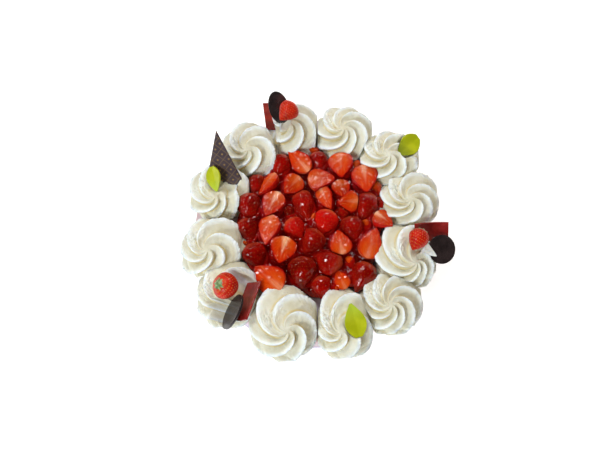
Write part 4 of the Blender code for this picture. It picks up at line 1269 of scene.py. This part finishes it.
def lay_table():
    """Plain white sheet, far larger than the tart."""
    mesh = bpy.data.meshes.new("table")
    ends = ((-1, -1), (1, -1), (1, 1), (-1, 1))
    corners = [(x * TABLE_REACH, y * TABLE_REACH, TABLE_LEVEL) for x, y in ends]
    mesh.from_pydata(corners, [], [(0, 1, 2, 3)])
    table = bpy.data.objects.new("table", mesh)
    bpy.context.scene.collection.objects.link(table)
    material, _, _ = new_material(
        "white_table", Roughness=0.7, Base_Color=(0.93, 0.93, 0.93, 1.0),
        Emission_Color=(1.0, 1.0, 1.0, 1.0), Emission_Strength=0.48,
    )
    mesh.materials.append(material)


lay_table()


# %% Light
TART_MIDDLE = Vector((0.0, 0.0, 0.05))
WHITE = (1.0, 1.0, 1.0)
# name, place, size, power
WINDOWS = (
    ("left", (-0.35, 0.75, 0.95), 0.13, 2.8),
    ("right", (0.25, 0.8, 0.9), 0.14, 2.0),
    ("side", (-0.9, 0.1, 0.9), 0.12, 2.6),
    ("back", (0.0, 1.05, 1.0), 0.08, 1.5),
    ("over", (-0.6, 0.5, 1.15), 0.08, 1.5),
    ("far right", (0.7, 0.35, 1.0), 0.08, 1.3),
    ("front", (-0.7, -0.9, 0.9), 0.24, 5.5),
)


def hang_light(name, place_at, size, power, tint, mirrored):
    """Square soft light turned to the tart; one that isn't mirrored leaves no veil on the glaze."""
    lamp = bpy.data.lights.new(name, "AREA")
    lamp.size = size
    lamp.energy = power
    lamp.color = tint
    item = bpy.data.objects.new(name, lamp)
    bpy.context.scene.collection.objects.link(item)
    item.location = place_at
    item.visible_glossy = mirrored
    aim = TART_MIDDLE - item.location
    item.rotation_euler = aim.to_track_quat("-Z", "Y").to_euler()


hang_light("key", (-0.9, -1.2, 1.15), 1.0, 14.3, (0.79, 0.93, 1.0), False)
hang_light("front fill", (0.8, -1.4, 0.8), 1.3, 2.4, (1.0, 0.95, 0.86), False)
hang_light("warm fill", (1.0, 0.8, 0.8), 0.9, 3.6, (1.0, 0.82, 0.56), False)
for name, place_at, size, power in WINDOWS:
    hang_light("window " + name, place_at, size, power, WHITE, True)

sky = bpy.data.worlds.new("soft room")
sky.use_nodes = True
sky.node_tree.nodes["Background"].inputs[0].default_value = (1.0, 0.93, 0.82, 1.0)
sky.node_tree.nodes["Background"].inputs[1].default_value = 0.11
bpy.context.scene.world = sky
sky.cycles_visibility.glossy = False
bpy.context.scene.view_settings.view_transform = "Standard"

# %% Camera
ELEVATION = math.radians(70.0)
DISTANCE = 0.485
TARGET = Vector((0.0, -0.0035, 0.055))
LENS = {"sensor_width": 36.0, "lens": 31.32, "shift_x": -0.021, "shift_y": -0.0068}


def set_camera():
    """Looks along +Y and down at the tart, at the distance that gives the framing."""
    lens = bpy.data.cameras.new("camera")
    for label, value in LENS.items():
        setattr(lens, label, value)
    camera = bpy.data.objects.new("camera", lens)
    bpy.context.scene.collection.objects.link(camera)
    back = Vector((0.0, -math.cos(ELEVATION), math.sin(ELEVATION)))
    camera.location = TARGET + DISTANCE * back
    camera.rotation_euler = (-back).to_track_quat("-Z", "Y").to_euler()
    bpy.context.scene.camera = camera


set_camera()
